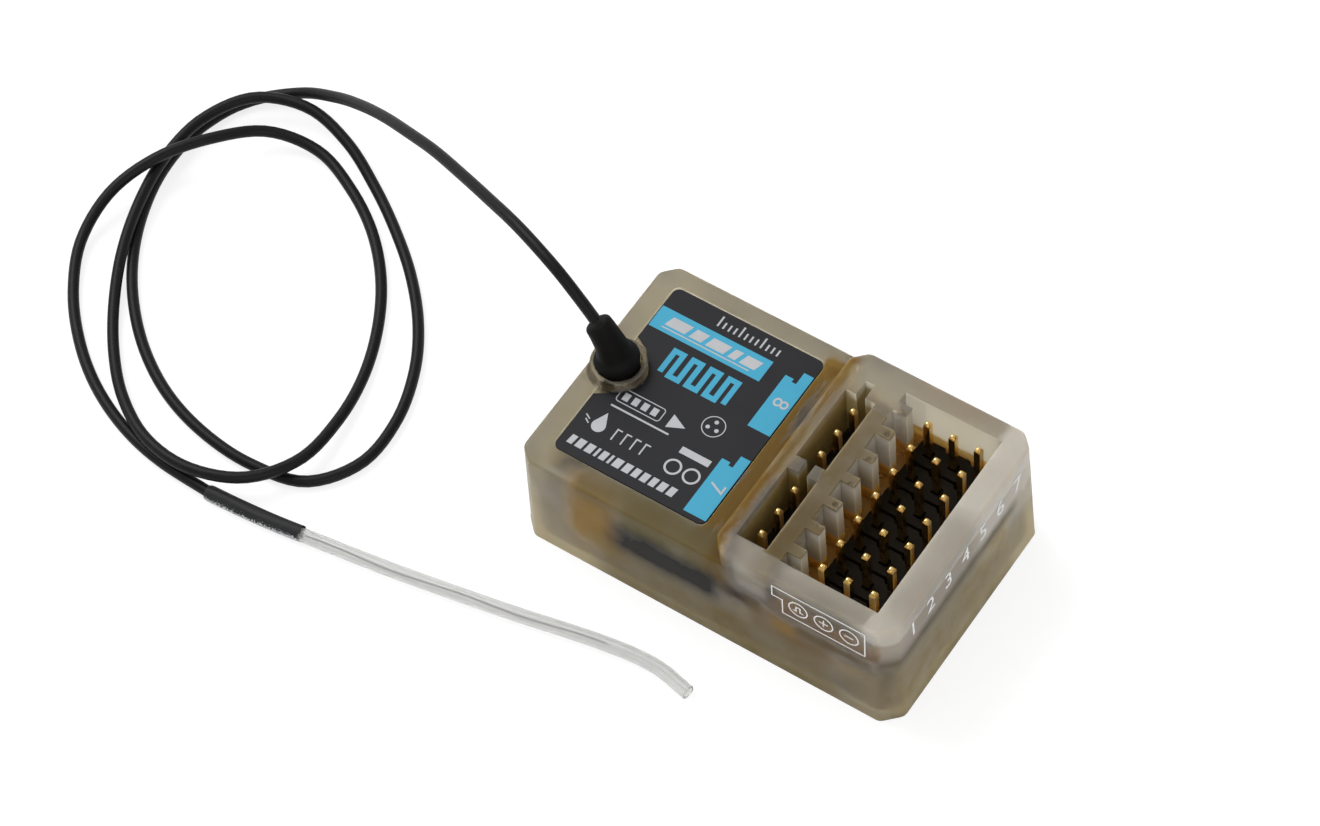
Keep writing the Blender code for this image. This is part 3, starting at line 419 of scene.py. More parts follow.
def makeLead(finish):
    tip, direction = bootAxis(bootPlan["length"])
    start = tip + direction * leadPlan["gap"]
    route = [start, start + direction * leadPlan["runOut"]] + inMetres(leadRoute)
    points = tableRoute(route, leadPlan)
    curve = bpy.data.curves.new("antenna_lead_visual", "CURVE")
    curve.dimensions = "3D"
    curve.bevel_depth = leadPlan["radius"]
    curve.bevel_resolution = leadPlan["bevelSteps"]
    curve.use_fill_caps = True
    spline = curve.splines.new("POLY")
    spline.points.add(len(points) - 1)
    for place, point in zip(spline.points, points):
        place.co = (*point, 1.0)
    lead = addPiece("antenna_lead_visual", curve, finish, "lead_jacket", "antenna_lead")
    return lead, points


jacketFinish = makeFinish("lead_jacket", jacketLook)
lead, leadPoints = makeLead(jacketFinish)
print("antenna lead:", round(routeLength(leadPoints) / mm), "mm")


# Heat-shrink at the lead's end

shrinkPlan = {
    "radius": 0.00076,
    "endRadius": 0.00068,
    "leadSocket": 0.0006,          # the lead goes into the other end
    "socketRadius": 0.00069,       # the clear sleeve comes out of this end
    "socketDepth": 0.0009,
    "sides": 36,
    "spacing": 0.00012,
    "ragged": 0.00022,     # how far the cut end wanders, its share cut away, its swing and small teeth
    "raggedMean": 0.55,
    "raggedSwing": 0.3,
    "raggedTeeth": 0.6,
    "wrinkle": 0.00001,
    "wrinkleTwist": (0.11, 0.07),
    "taper": 3.0,          # points along its narrower start
}
shrinkLook = {
    "blotch": (0.55, 5.0, 0.7),
    "flecks": (0.16, 4.0, 0.75),
    "colours": ((0.008, 0.008, 0.0085), (0.018, 0.0185, 0.02)),
    "roughness": 0.45, "uneven": 0.15,
    "scuff": (0.5, 0.51, 0.52), "scuffEdge": (0.66, 0.72),
    "scuffMore": 0.26,     # more scuffs low down and on the near side of a line along the tube
    "scuffHeight": (1.0, 1.7), "scuffSide": (-20.35, -20.05), "slope": 0.09,
    "waves": 0.8, "depth": 0.03,
    "fixed": {"Specular_IOR_Level": 0.25},
}


def makeShrinkFinish(look):
    shrink = Finish("shrink_tube")
    x, y, z = shrink.axes()
    blotch = shrink.grain(*look["blotch"])
    flecks = shrink.grain(*look["flecks"])
    lowSide = 1.0 - shrink.step(z + blotch * 0.5, *look["scuffHeight"])
    nearSide = 1.0 - shrink.step(y - x * look["slope"] + flecks * 0.5, *look["scuffSide"])
    scuffed = shrink.step(flecks + lowSide * nearSide * look["scuffMore"], *look["scuffEdge"])
    colour = shrink.blend(blotch, *look["colours"])
    shrink.set(Base_Color=shrink.blend(scuffed, colour, look["scuff"]))
    shrink.set(Roughness=look["roughness"] + blotch * look["uneven"], **look["fixed"])
    shrink.bump(flecks + scuffed * look["waves"], look["depth"])
    return shrink


def makeShrink(finish):
    plan = shrinkPlan
    points = tableRoute(inMetres(shrinkRoute), plan)
    rng = random.Random(7)
    phases = [rng.uniform(0, 2 * math.pi) for _ in range(4)]
    twist, backTwist = plan["wrinkleTwist"]
    narrower = plan["radius"] - plan["endRadius"]

    def wrinkle(i, turn):
        folds = math.sin(3 * turn + phases[0] + i * twist) + math.sin(5 * turn + phases[1] - i * backTwist)
        return plan["wrinkle"] * folds - narrower * (1.0 - math.sqrt(min(1.0, i / plan["taper"])))

    rings = tubeRings(points, plan["radius"], plan["sides"], wrinkle)
    socket = tubeRings(points[:3], plan["leadSocket"], plan["sides"])[0]
    behind = (points[1] - points[0]).normalized()
    ahead = (points[-1] - points[-2]).normalized()
    across, other = crossFrames(points)[-1]
    outward = []
    for k, turn in enumerate(turnsOf(plan["sides"])):
        jag = math.sin(4 * turn + phases[2]) + plan["raggedTeeth"] * math.sin(9 * turn + phases[3])
        cutAway = plan["raggedMean"] + plan["raggedSwing"] * jag
        rings[-1][k] = rings[-1][k] - ahead * plan["ragged"] * cutAway
        rings[-2][k] = rings[-2][k].lerp(rings[-1][k], 0.5)
        outward.append(across * math.cos(turn) + other * math.sin(turn))
    end = rings[-1]
    lip = plan["radius"] - plan["socketRadius"]
    for depth in (0.0, plan["socketDepth"]):
        rings.append([point - out * lip - ahead * depth for point, out in zip(end, outward)])
    rings = [[point + behind * plan["socketDepth"] for point in socket], socket] + rings
    return addRings("antenna_heatshrink_visual", rings, finish, "shrink_tube", "antenna_heatshrink")


shrinkPiece = makeShrink(makeShrinkFinish(shrinkLook))


# Clear sleeve with the bare element in it

sleevePlan = {
    "radius": 0.00066,
    "wall": 0.0002,
    "sides": 28,
    "spacing": 0.0008,
    "tuckedIn": 0.0009,            # this much of it is inside the heat-shrink
    "elementRadius": 0.000065,
    "elementSides": 10,
    "elementLength": 0.0295,       # the bare wire ends here, and the empty sleeve is creased beyond
    "elementWander": 0.00007,
    "elementWaves": (520.0, 390.0),
    "creaseDepth": 0.0002,
    "creaseTurn": 2.1,
    "creaseWidth": 0.22,
    "creaseStart": 3.0,            # points over which the crease sets in
}
sleeveLook = {
    "tone": (1.4, 4.0),
    "colours": ((0.80, 0.80, 0.785), (0.88, 0.88, 0.865)),
    "roughness": 0.26, "uneven": 0.05,
    "relief": (3.0, 0.0), "depth": 0.004,
    "fixed": {"Transmission_Weight": 0.84, "IOR": 1.3},
}
wireLook = {
    "tone": (0.25, 3.0),
    "colours": ((0.03, 0.03, 0.03), (0.08, 0.08, 0.078)),
    "roughness": 0.4, "uneven": 0.15,
    "fixed": {"Metallic": 0.6},
}


def makeSleeve(finish):
    plan = sleevePlan
    points = tableRoute(inMetres(sleeveRoute), plan)
    points[0] = points[0] + (points[0] - points[1]).normalized() * plan["tuckedIn"]
    creased = plan["elementLength"] / plan["spacing"]

    def crease(i, turn):
        amount = min(1.0, max(0.0, (i - creased) / plan["creaseStart"]))
        away = math.remainder(turn - plan["creaseTurn"], 2.0 * math.pi) / plan["creaseWidth"]
        return -amount * plan["creaseDepth"] * math.exp(-away * away)

    outer = tubeRings(points, plan["radius"], plan["sides"], crease)
    inner = tubeRings(points, plan["radius"] - plan["wall"], plan["sides"], crease)
    return addRings("antenna_sleeve_visual", outer + inner[::-1], finish, "clear_sleeve", "antenna_sleeve",
                    closed=True)


def makeElement(finish):
    plan = sleevePlan
    points = tableRoute(inMetres(sleeveRoute), plan)
    wander = plan["elementWander"]
    sideways, upwards = plan["elementWaves"]
    kept = []
    run = 0.0
    for a, b in zip(points, points[1:]):
        kept.append(a + wander * Vector((0.0, math.sin(run * sideways), math.cos(run * upwards))))
        run += (b - a).length
        if run > plan["elementLength"]:
            break
    rings = tubeRings(kept, plan["elementRadius"], plan["elementSides"])
    return addRings("antenna_element_visual", rings, finish, "tinned_steel", "antenna_element")


sleevePiece = makeSleeve(makeFinish("clear_sleeve", sleeveLook))
elementPiece = makeElement(makeFinish("bare_element", wireLook))


# Rubber boot

rubberLook = {
    "tone": (0.7, 4.0),
    "colours": ((0.0027, 0.0025, 0.0023), (0.0065, 0.006, 0.0055)),
    "roughness": 0.5, "uneven": 0.14,
    "dust": (0.28, 6.0, 0.75), "dustEdge": (0.63, 0.74),
    "dustColour": (0.08, 0.075, 0.07), "dustShare": 0.35,
    "relief": (0.1, 3.0), "waves": 1.0, "depth": 0.015,
    "fixed": {"Specular_IOR_Level": 0.09},
}


def makeBoot(finish):
    rings = []
    for height, radius in bootPlan["profile"]:
        centre, direction = bootAxis(height * mm)
        across = Vector((0.0, 1.0, 0.0)).cross(direction).normalized()
        other = direction.cross(across)
        rings.append([centre + radius * mm * (across * math.cos(turn) + other * math.sin(turn))
                      for turn in turnsOf(bootPlan["sides"])])
    return addRings("antenna_boot_visual", rings, finish, "boot_rubber", "antenna_boot", angle=50.0)


bootPiece = makeBoot(makeFinish("boot_rubber", rubberLook))
tipPoint = bootAxis(bootPlan["length"])[0]
routeLength(leadPoints)
2 * leadPlan["radius"]
print("lead, heat-shrink, sleeve, element and boot made")


# Frosted case

casePlan = {
    "edge": 0.00011,       # rounding of the well rims
    "edgeSteps": 2,
    "foot": 0.00022,       # the solid has a small lip at its foot, up to about here
    "coreX": 0.0187,       # where the corners' rounding starts
    "coreY": 0.0115,
    "outside": (0.0188, 0.0116),
    "collar": {"place": (-0.0164, 0.0002), "radius": 0.0026, "above": 0.0122, "raised": 0.00045},
    "dents": {"x": 7.95, "y": (7.97, 5.46, 2.5, -0.44, -2.75, -5.13), "top": 13.65,      # millimetres
              "radius": 0.36, "depth": 0.2},
}
frostPlan = {              # colours are linear, heights and places in millimetres
    "clearUpper": ((0.63, 0.57, 0.42), (0.78, 0.735, 0.62)),
    "clearLower": ((0.39, 0.315, 0.155), (0.50, 0.425, 0.245)),
    "milk": ((0.46, 0.428, 0.368), (0.57, 0.543, 0.49)),
    "speck": (0.86, 0.84, 0.8),
    "bandLow": 6.4,        # the olive lower band ends about here
    "bandHigh": 8.8,
    "haze": 0.06,
    "body": 0.42,          # how solid a painted field looks, for colour seen through and painted shade alike
    "cloud": (4.5, 4.0),
    "blot": (2.2, 3.0),
    "streak": (1.1, 4.0, 0.6, (1.0, 0.12, 0.5)),
    "dirt": (0.5, 6.0, 0.72),
    "etch": (0.09, 2.0),
    "fixed": {"Transmission_Weight": 1.0, "IOR": 1.22, "Specular_IOR_Level": 0.12},
    "milky": {"Roughness": 0.42, "Specular IOR Level": 0.08, "Subsurface Weight": 1.0,
              "Subsurface Radius": (1.4, 1.2, 0.9), "Subsurface Scale": mm},   # how far light wanders
    "seal": ((0.27, 0.155, 0.025), 1.1, 0.6, (-1.7, 2.1), (-14.0, 11.0), (8.6, 14.0)),
    # collar: a ragged dark ring of dirt and painted shade round the antenna's collar
    "collar": {"colour": (0.06, 0.038, 0.018), "share": 0.85, "x": -16.4, "y": 0.2, "radius": 2.62,
               "line": 0.1, "soft": 0.34},
}
seenInsideAndShade = {                 # what shows through, and painted shade under the shield and in the gap by the collar: colour, share, softness and reach in x, y and z
    "sealant by the capacitors": ((0.33, 0.2, 0.045), 1.0, 1.6, (-14, -8.2), (-14, -9.8), (3.6, 12.6)),
    "bright sealant": ((0.4, 0.23, 0.04), 0.6, 0.9, (-12.4, -9.6), (-14, -9.8), (6.6, 9.4)),
    "shield lid": ((0.205, 0.165, 0.065), 1.0, 1.1, (-8.6, 0.8), (-14, -9.6), (8.4, 14)),
    "brown at the step": ((0.17, 0.105, 0.025), 0.8, 0.7, (0.6, 3), (-14, -9.8), (7.6, 13.4)),
    "under the board": ((0.165, 0.11, 0.016), 0.9, 2.2, (-11, 14), (-14, -11), (-4, 6)),
    # painted shadow under the radio shield, a near-black band on the near wall
    "under the shield": ((0.003, 0.002, 0.0005), 1.15, 1.5, (-9.4, 1.8), (-14, -11), (5.3, 9.4)),
    "side header": ((0.03, 0.012, 0.001), 0.9, 0.8, (2.2, 6.2), (-14, -11), (7.2, 9.4)),
    "brown by the wells": ((0.155, 0.09, 0.02), 0.85, 1.2, (4.6, 13.6), (-14, -11), (4.6, 8.8)),
    "sealant by the wells": ((0.33, 0.18, 0.02), 0.9, 0.8, (7.2, 9.6), (-14, -11), (6.2, 8)),
    "foot at the end": ((0.2, 0.145, 0.06), 0.5, 0.6, (12.5, 20.5), (-14, -11), (-1, 2)),
    "sealant at the end": ((0.24, 0.135, 0.02), 0.6, 0.9, (13.8, 16.4), (-14, -11), (4.6, 6.6)),
    "header edge": ((0.11, 0.07, 0.02), 0.85, 0.6, (9.6, 17.5), (-14, -10.6), (7.2, 8.6)),
    "inside at the end": ((0.235, 0.17, 0.045), 0.95, 1.2, (18.9, 20.9), (-14, 6.8), (-4, 8.4)),
    "header end": ((0.10, 0.075, 0.035), 0.95, 0.85, (17.6, 20.5), (-12.8, 8), (7.9, 9.2)),
    "near deck edge": ((0.21, 0.165, 0.075), 0.75, 0.6, (-13, 0.4), (-13, -9.4), (10.6, 12.2)),
    "side well walls": ((0.33, 0.24, 0.07), 0.9, 0.5, (1.7, 5.2), (-10.2, 9.5), (5, 12.8)),
    "key ribs": ((0.24, 0.17, 0.06), 0.6, 1.5, (6.4, 9.6), (-10.4, 4), (6, 11.6)),
    "block by the step": ((0.29, 0.2, 0.065), 0.6, 0.7, (0.9, 3), (-3, 10), (11, 14)),
    "middle wall": ((0.2, 0.15, 0.07), 0.9, 0.15, (5.2, 8.7), (-9.9, 7), (13.4, 14)),
    "near end of the middle wall": ((0.14, 0.095, 0.03), 0.7, 0.8, (5.2, 7.4), (-12.6, -3), (12, 14)),
    "well feet": ((0.62, 0.33, 0.05), 1.0, 0.35, (6.2, 17.2), (-10.4, 10.4), (5, 9.1)),
    # painted shade in the gap beside the collar
    "gap by the collar": ((0.006, 0.004, 0.002), 1.0, 0.15, (-16.5, -15.1), (-2.9, -2.05), (11.9, 12.9)),
    "grease round the collar": ((0.20, 0.15, 0.09), 0.55, 0.3, (-19, -13.9), (-2.4, 2.8), (11.75, 12.6)),
}
milkZones = {              # where the plastic is thick or lit all round: share, softness and reach
    "keys": (0.75, 0.2, (6.6, 9), (-9.9, 9.9), (8.6, 13.3)),
    "block top": (0.1, 0.25, (2, 20), None, (13.1, 14)),
    "side wells": (0.25, 0.3, (2.2, 5.6), (-9.9, 9.9), (6, 13.3)),
    "near rim": (0.15, 0.5, (1.6, 20), (-14, -9.8), (12.2, 14)),
    "end rim": (0.4, 0.5, (16.4, 20), None, (11.8, 14)),
    "end wall": (0.3, 0.4, (18, 20), (-12, 14), (9.3, 12.2)),
    "near corner": (0.3, 0.8, (3.4, 6.6), (-14, -9.8), (9.8, 13.4)),
    "end corner": (0.12, 0.9, (15.5, 20), (-14, -8), (10.4, 13.4)),
    "far left corner": (0.14, 1.5, (-21, -13.5), (-14, -8), (1, 10)),
    "far end": (0.45, 1.6, (16.4, 20), (2, 14), (6, 14)),
}


def makeFrostedFinish(plan, seenInsideAndShade, milkZones):
    frosted = Finish("frosted_plastic")
    step, blend = frosted.step, frosted.blend
    x, y, z = frosted.axes()
    grains = (frosted.grain(*plan[name]) for name in ("cloud", "blot", "streak", "dirt", "etch"))
    cloud, blot, streak, dirt, etch = grains
    speck = step(dirt, 0.66, 0.76)
    drift = (blot - 0.5) * 2.0

    def within(share, soft, *spans, drift):
        for span, value in zip(spans, (x + drift, y, z - drift * 0.6)):
            if span:
                first, last = span
                share = share * step(value, first - soft, first + soft)
                share = share * (1.0 - step(value, last - soft, last + soft))
        return share

    low = 1.0 - step(z + cloud * 1.2, plan["bandLow"], plan["bandHigh"])
    colour = blend(low, blend(cloud, *plan["clearUpper"]), blend(cloud, *plan["clearLower"]))
    milkColour = blend(cloud, *plan["milk"])
    sealColour, *seal = plan["seal"]
    sealed = within(*seal, drift=drift) * step(streak, 0.3, 0.52)
    layers = [(sealed, sealColour)]
    collar = plan["collar"]                        # dirt and painted shade in a ring round the antenna's collar
    awayX, awayY = x - collar["x"], y - collar["y"]
    squared = awayX * awayX + awayY * awayY
    away = abs(squared.maths("SQRT", squared) - collar["radius"] + drift * 0.12)
    ringed = (1.0 - step(away, collar["line"], collar["soft"])) * collar["share"]
    ringed = ringed * step(z, 11.0, 11.4) * step(streak, 0.3, 0.5)
    layers.append((ringed, collar["colour"]))
    # colours seen through and the painted shade go over the case, each in its own place
    for fieldColour, *fieldPlan in seenInsideAndShade.values():
        layers.append((within(*fieldPlan, drift=drift * 0.5) * (0.55 + cloud * 0.9), fieldColour))
    covered = 0.0
    for share, tint in layers:
        colour = blend(share, colour, tint)
        milkColour = blend(share, milkColour, tint)
        covered = share + covered
    covered = step(covered, 0.0, 1.0)
    frosted.set(Base_Color=blend(speck * 0.3, colour, plan["speck"]))
    frosted.set(Roughness=0.36 + cloud * 0.12 + speck * 0.1, **plan["fixed"])
    frosted.bump(etch + speck * 0.6, 0.006)

    haze = plan["haze"] + cloud * 0.06
    for zone in milkZones.values():
        haze = haze + within(*zone, drift=drift * 0.3)
    milk = frosted.node("ShaderNodeBsdfPrincipled", {}, {"Base Color": milkColour, **plan["milky"]})
    frosted.cover(haze + covered * plan["body"], milk)
    return frosted


def straightenWalls(bm, plan):             # brings the walls out over the lip at their foot
    coreX, coreY = plan["coreX"], plan["coreY"]
    farX, farY = plan["outside"]
    for vert in bm.verts:
        x, y, z = vert.co
        if z > plan["foot"] or (abs(x) < farX and abs(y) < farY):
            continue
        core = Vector((max(-coreX, min(coreX, x)), max(-coreY, min(coreY, y)), z))
        vert.co += (vert.co - core).normalized() * z


def raiseCollar(bm, plan):                 # the antenna's collar stands a little higher in the photo
    centre = Vector(plan["place"])
    for vert in bm.verts:
        if vert.co.z > plan["above"] and (vert.co.xy - centre).length < plan["radius"]:
            vert.co.z += plan["raised"]


def correctHousing(bm):
    straightenWalls(bm, casePlan)
    raiseCollar(bm, casePlan["collar"])


softening = {"weld": 0.002 * mm, "flat": math.radians(0.6), "sharp": 0.6, "shading": 30.0}


def softenedCopy(name, plan, change=None):     # the node's own shape with small rounded edges
    bm = bmesh.new()
    bm.from_mesh(cad[name].data)
    if change:
        change(bm)
    bmesh.ops.remove_doubles(bm, verts=bm.verts, dist=softening["weld"])
    bmesh.ops.dissolve_limit(bm, angle_limit=softening["flat"], verts=bm.verts, edges=bm.edges)
    edges = [edge for edge in bm.edges
             if len(edge.link_faces) == 2 and edge.calc_face_angle() > softening["sharp"]]
    roundEdges(bm, edges, plan)
    return finishMesh(bm, name + "_visual", softening["shading"])


def shapeOf(thing):                        # a mesh of an object with its modifiers or of a text
    bpy.context.view_layer.update()
    return bpy.data.meshes.new_from_object(thing.evaluated_get(bpy.context.evaluated_depsgraph_get()))


def dentRibs(mesh, plan):                  # small round dents that the mould leaves on the key ribs
    bm = bmesh.new()
    for y in plan["y"]:
        middle = Vector((plan["x"], y, plan["top"] + plan["radius"] - plan["depth"])) * mm
        bmesh.ops.create_uvsphere(bm, u_segments=16, v_segments=10, radius=plan["radius"] * mm,
                                  matrix=Matrix.Translation(middle))
    cutter = addObject("dent_cutter", finishMesh(bm, "dent_cutter"))
    target = addObject("dent_target", mesh)
    cut = target.modifiers.new("dents", "BOOLEAN")
    cut.operation = "DIFFERENCE"
    cut.object = cutter
    dented = shapeOf(target)
    for thing in (cutter, target):
        bpy.data.objects.remove(thing)
    dented.set_sharp_from_angle(angle=math.radians(softening["shading"]))
    return dented


frostedFinish = makeFrostedFinish(frostPlan, seenInsideAndShade, milkZones)
housingMesh = dentRibs(softenedCopy("upper_housing", casePlan, correctHousing), casePlan["dents"])
housingPiece = addPiece("upper_housing_visual", housingMesh, frostedFinish, "frosted_plastic",
                        "upper_housing")
evenShading(housingPiece)
dressNode("base_cover", frostedFinish)
print("frosted case made")


# Pins and headers

pinPlan = {
    "half": 0.00032,
    "point": 0.00035,
    "tip": 0.000145,
    "edge": 0.00005,
    "edgeSteps": 2,
}
goldLook = {
    "tone": (0.9, 3.0),
    "colours": ((0.80, 0.53, 0.17), (0.92, 0.68, 0.30)),
    "roughness": 0.13, "uneven": 0.1,
    "relief": (0.08, 2.0, 0.5, (1.0, 1.0, 0.06)), "depth": 0.0005,       # drawn lengthwise
    "fixed": {"Metallic": 1.0},
}
headerPlan = {"edge": 0.00004, "edgeSteps": 1}
headerLook = {
    "tone": (0.8, 4.0),
    "colours": ((0.004, 0.003, 0.002), (0.013, 0.0095, 0.0055)),
    "roughness": 0.42, "uneven": 0.2,
    "relief": (0.12, 3.0), "waves": 1.0, "depth": 0.02,
    "fixed": {"Specular_IOR_Level": 0.08},
}


def nodesOf(kind):
    return sorted(name for name in cad if name.startswith(("servo_" + kind, "side_" + kind)))


def makePinMesh(node):
    low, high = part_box(node)
    bottom, top = low[2], high[2]
    bm = bmesh.new()
    plan = pinPlan
    rings = []
    for z, half in ((bottom, plan["tip"]), (bottom + plan["point"], plan["half"]),
                    (top - plan["point"], plan["half"]), (top, plan["tip"])):
        rings.append([(sx * half, sy * half, z) for sx, sy in ((-1, -1), (1, -1), (1, 1), (-1, 1))])
    bridgeRings(bm, rings)
    bmesh.ops.recalc_face_normals(bm, faces=bm.faces)
    roundEdges(bm, list(bm.edges), plan)
    return finishMesh(bm, "pin_visual", 30.0)


def makePins(finish):
    names = nodesOf("pin_")
    mesh = makePinMesh(names[0])
    for name in names:
        low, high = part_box(name)
        pin = addPiece(name + "_visual", mesh, finish, "gold_plate", name)
        evenShading(pin)
        pin.location = ((low[0] + high[0]) / 2, (low[1] + high[1]) / 2, 0.0)
    return names


goldFinish = makeFinish("gold_plate", goldLook)
pinNames = makePins(goldFinish)
headerFinish = makeFinish("header_plastic", headerLook)
headerNames = nodesOf("header_")
for name in headerNames:
    headerMesh = softenedCopy(name, headerPlan)
    evenShading(addPiece(name + "_visual", headerMesh, headerFinish, "header_plastic", name))
print("pins and headers made:", len(pinNames), len(headerNames))


# Inside parts

steelLook = {
    "tone": (1.5, 4.0),
    "colours": ((0.30, 0.295, 0.25), (0.45, 0.44, 0.38)),
    "roughness": 0.3, "uneven": 0.15,
    "relief": (0.12, 3.0, 0.6, (0.1, 1.0, 1.0)), "depth": 0.008,         # brushed lengthwise
    "fixed": {"Metallic": 0.8},
}
amberLook = {
    "tone": (2.5, 3.0),
    "colours": ((0.42, 0.19, 0.03), (0.62, 0.36, 0.10)),
    "roughness": 0.2, "uneven": 0.15,
    "relief": (2.5, 3.0), "depth": 0.15,
    "fixed": {"Transmission_Weight": 0.4, "IOR": 1.5},
}
mouldedLook = {
    "tone": (0.9, 3.0),
    "roughness": 0.35, "uneven": 0.2,
    "relief": (0.1, 2.0), "depth": 0.01,
}
boardLook = {
    "weave": (0.7, 3.0),
    "colours": ((0.022, 0.022, 0.010), (0.045, 0.042, 0.018)),
    "roughness": 0.3, "uneven": 0.1,
    "track": (0.13, 0.10, 0.035), "trackShare": 0.5, "trackEdge": (0.3, 0.36), "tracksPerMetre": 700.0,
    "depth": 0.02,
}
tantalumColours = ((0.5, 0.27, 0.05), (0.7, 0.44, 0.12))
lampColours = ((0.35, 0.03, 0.02), (0.55, 0.08, 0.05))


def makeBoardFinish(look):
    board = Finish("board_mask")
    weave = board.grain(*look["weave"])
    tracks = board.node("ShaderNodeTexVoronoi", {"distance": "MANHATTAN"},
                        {"Vector": board.place, "Scale": look["tracksPerMetre"]})
    lines = board.step(tracks["Distance"], *look["trackEdge"])
    colour = board.blend(weave, *look["colours"])
    board.set(Base_Color=board.blend(lines * look["trackShare"], colour, look["track"]))
    board.set(Roughness=look["roughness"] + weave * look["uneven"])
    board.bump(lines, look["depth"])
    return board


boardFinish = makeBoardFinish(boardLook)
steelFinish = makeFinish("tinned_steel", steelLook)
tantalumFinish = makeFinish("tantalum_case", {**mouldedLook, "colours": tantalumColours})
lampFinish = makeFinish("light_lens", {**mouldedLook, "colours": lampColours})
insideFinishes = {
    "circuit_board": boardFinish,
    "header_sealant": makeFinish("amber_sealant", amberLook),
    "radio_shield": steelFinish,
    "crystal": steelFinish,
    "coax_plug": steelFinish,
    "coax_jack": goldFinish,
    "processor": headerFinish,
    "regulator": headerFinish,
    "capacitor_1": tantalumFinish,
    "capacitor_2": tantalumFinish,
    "status_light": lampFinish,
    "inner_lead": jacketFinish,
}
for name, finish in insideFinishes.items():
    dressNode(name, finish)
print("inside parts dressed:", len(insideFinishes))


# Label and its print

labelPlan = {
    "x0": -16.89, "x1": -1.23,             # millimetres
    "y0": -9.48, "y1": 10.0,
    "corner": 0.7,
    "top": 11.62,
    "thickness": 0.12,
    "edge": 0.03,          # the film's upper edge is cut at a slant
    "printRise": 0.012,
    "printOver": 0.0264,   # the grey print is this high where it lies over the blue
    "printRoot": -0.01,    # the print starts this far inside the film
    "notch": 2.65,
    "notchTurns": (50.0, -44.0),               # degrees, where its round part starts and ends
    "notchAbove": [(-16.89, 3.83), (-15.6, 3.17)],
    "notchBelow": [(-16.89, -3.15)],
}
filmLook = {
    "tone": (3.0, 4.0),
    "colours": ((0.011, 0.0113, 0.013), (0.018, 0.018, 0.0205)),
    "roughness": 0.42, "uneven": 0.12,
    "dust": (0.4, 6.0, 0.78), "dustEdge": (0.7, 0.78),
    "dustColour": (0.12, 0.12, 0.12), "dustShare": 0.4,
    "relief": (0.1, 3.0), "depth": 0.005,
    "fixed": {"Specular_IOR_Level": 0.16},
}
inkLook = {
    "tone": (1.2, 5.0, 0.7),
    "roughness": 0.38, "uneven": 0.14,
    "relief": (0.12, 3.0), "depth": 0.004,
    "fixed": {"Specular_IOR_Level": 0.25},
}
inkColours = {
    "print_blue": ((0.036, 0.30, 0.46), (0.05, 0.34, 0.51)),
    "print_grey": ((0.36, 0.37, 0.385), (0.47, 0.48, 0.50)),
    "print_white": ((0.8, 0.8, 0.79), (0.9, 0.9, 0.89)),
}
blueShapes = {             # millimetres on the label
    "band": (-16.8, -5.22, 5.35, 7.72),
    "pulse": {"x": -13.2, "y": 1.75, "height": 2.5, "width": 0.9, "step": 1.9, "line": 0.52, "pulses": 4},
    "tab": [(-3.6, 0.0), (-1.3, 0.0), (-1.3, 7.1), (-2.3, 7.1), (-2.3, 5.75), (-2.75, 5.75),
            (-2.75, 6.1), (-3.6, 6.1)],
    "tabPlaces": (1.05, -9.0),
}
greyRows = {               # rows of bars: start, widths, gap, foot and head, slant
    "in the frame": (-14.45, (0.6, 0.6, 0.6, 0.6), 0.38, -2.4, -1.6, 0.0),
    "near edge": (-16.1, (0.55, 0.7, 0.7, 0.25, 0.6, 0.25, 0.75, 0.7, 0.6, 0.65, 0.6, 0.7, 0.65), 0.27,
                  -8.5, -7.55, 0.12),
}
bandRow = (-15.6, (2.1, 1.3, 1.9, 0.8, 1.6), 0.42, 6.1, 7.15, 0.35)
greyShapes = {             # millimetres on the label
    "bandLine": (-15.7, -6.6, 5.75, 5.87),
    "bars": [(-14.9, -8.9, -3.4, -3.22), (-7.15, -4.15, -4.35, -3.65)],
    "scale": {"x": -11.6, "y": 8.35, "marks": 12, "pitch": 0.56, "width": 0.17,
              "heights": (1.15, 0.7, 0.7, 0.7)},
    "frame": {"box": (-14.9, -10.4, -2.7, -1.3), "corner": 0.3, "line": 0.09},
    "arrow": [(-9.6, -2.8), (-8.0, -2.05), (-9.6, -1.3)],
    "drop": (-14.6, -5.7, 0.66, 1.518),    # its tip is this far from its middle
    "splashes": [[(-16.2, -5.2), (-15.65, -5.5)], [(-15.99, -5.62), (-15.524, -5.92)]],
    "splashLine": 0.12,
    "hooks": {"x": -12.9, "count": 4, "pitch": 0.98, "reach": 0.48, "y": (-6.35, -5.15), "line": 0.14},
    "rings": [(-6.75, -5.85, 0.72, 0.2), (-4.85, -5.85, 0.72, 0.2), (-6.0, -0.6, 1.05, 0.09)],
    "contacts": [(-6.45, -0.85), (-5.55, -0.85), (-6.0, -0.1)],
    "contactRadius": 0.2,
    "digits": (("8", 4.4), ("7", -5.65)),
    "digitX": -2.4,
    "digitSize": 2.1,
}


def makeInkFinish(name):
    return makeFinish(name, {**inkLook, "colours": inkColours[name]})


def onLabel(u, v, z):
    return Vector((u, v, labelPlan["top"] + z)) * mm


def flatShape(bm, outline, top):           # a raised flat shape on the label
    bridgeRings(bm, [[onLabel(u, v, z) for u, v in outline] for z in (labelPlan["printRoot"], top)])


def rectOutline(x0, x1, y0, y1, slant=0.0):
    return [(x0, y0), (x1, y0), (x1 + slant, y1), (x0 + slant, y1)]


def arcPoints(x, y, radius, start, end, steps):    # from one angle to another, in degrees
    turns = [math.radians(start + (end - start) * step / steps) for step in range(steps + 1)]
    return [(x + radius * math.cos(turn), y + radius * math.sin(turn)) for turn in turns]


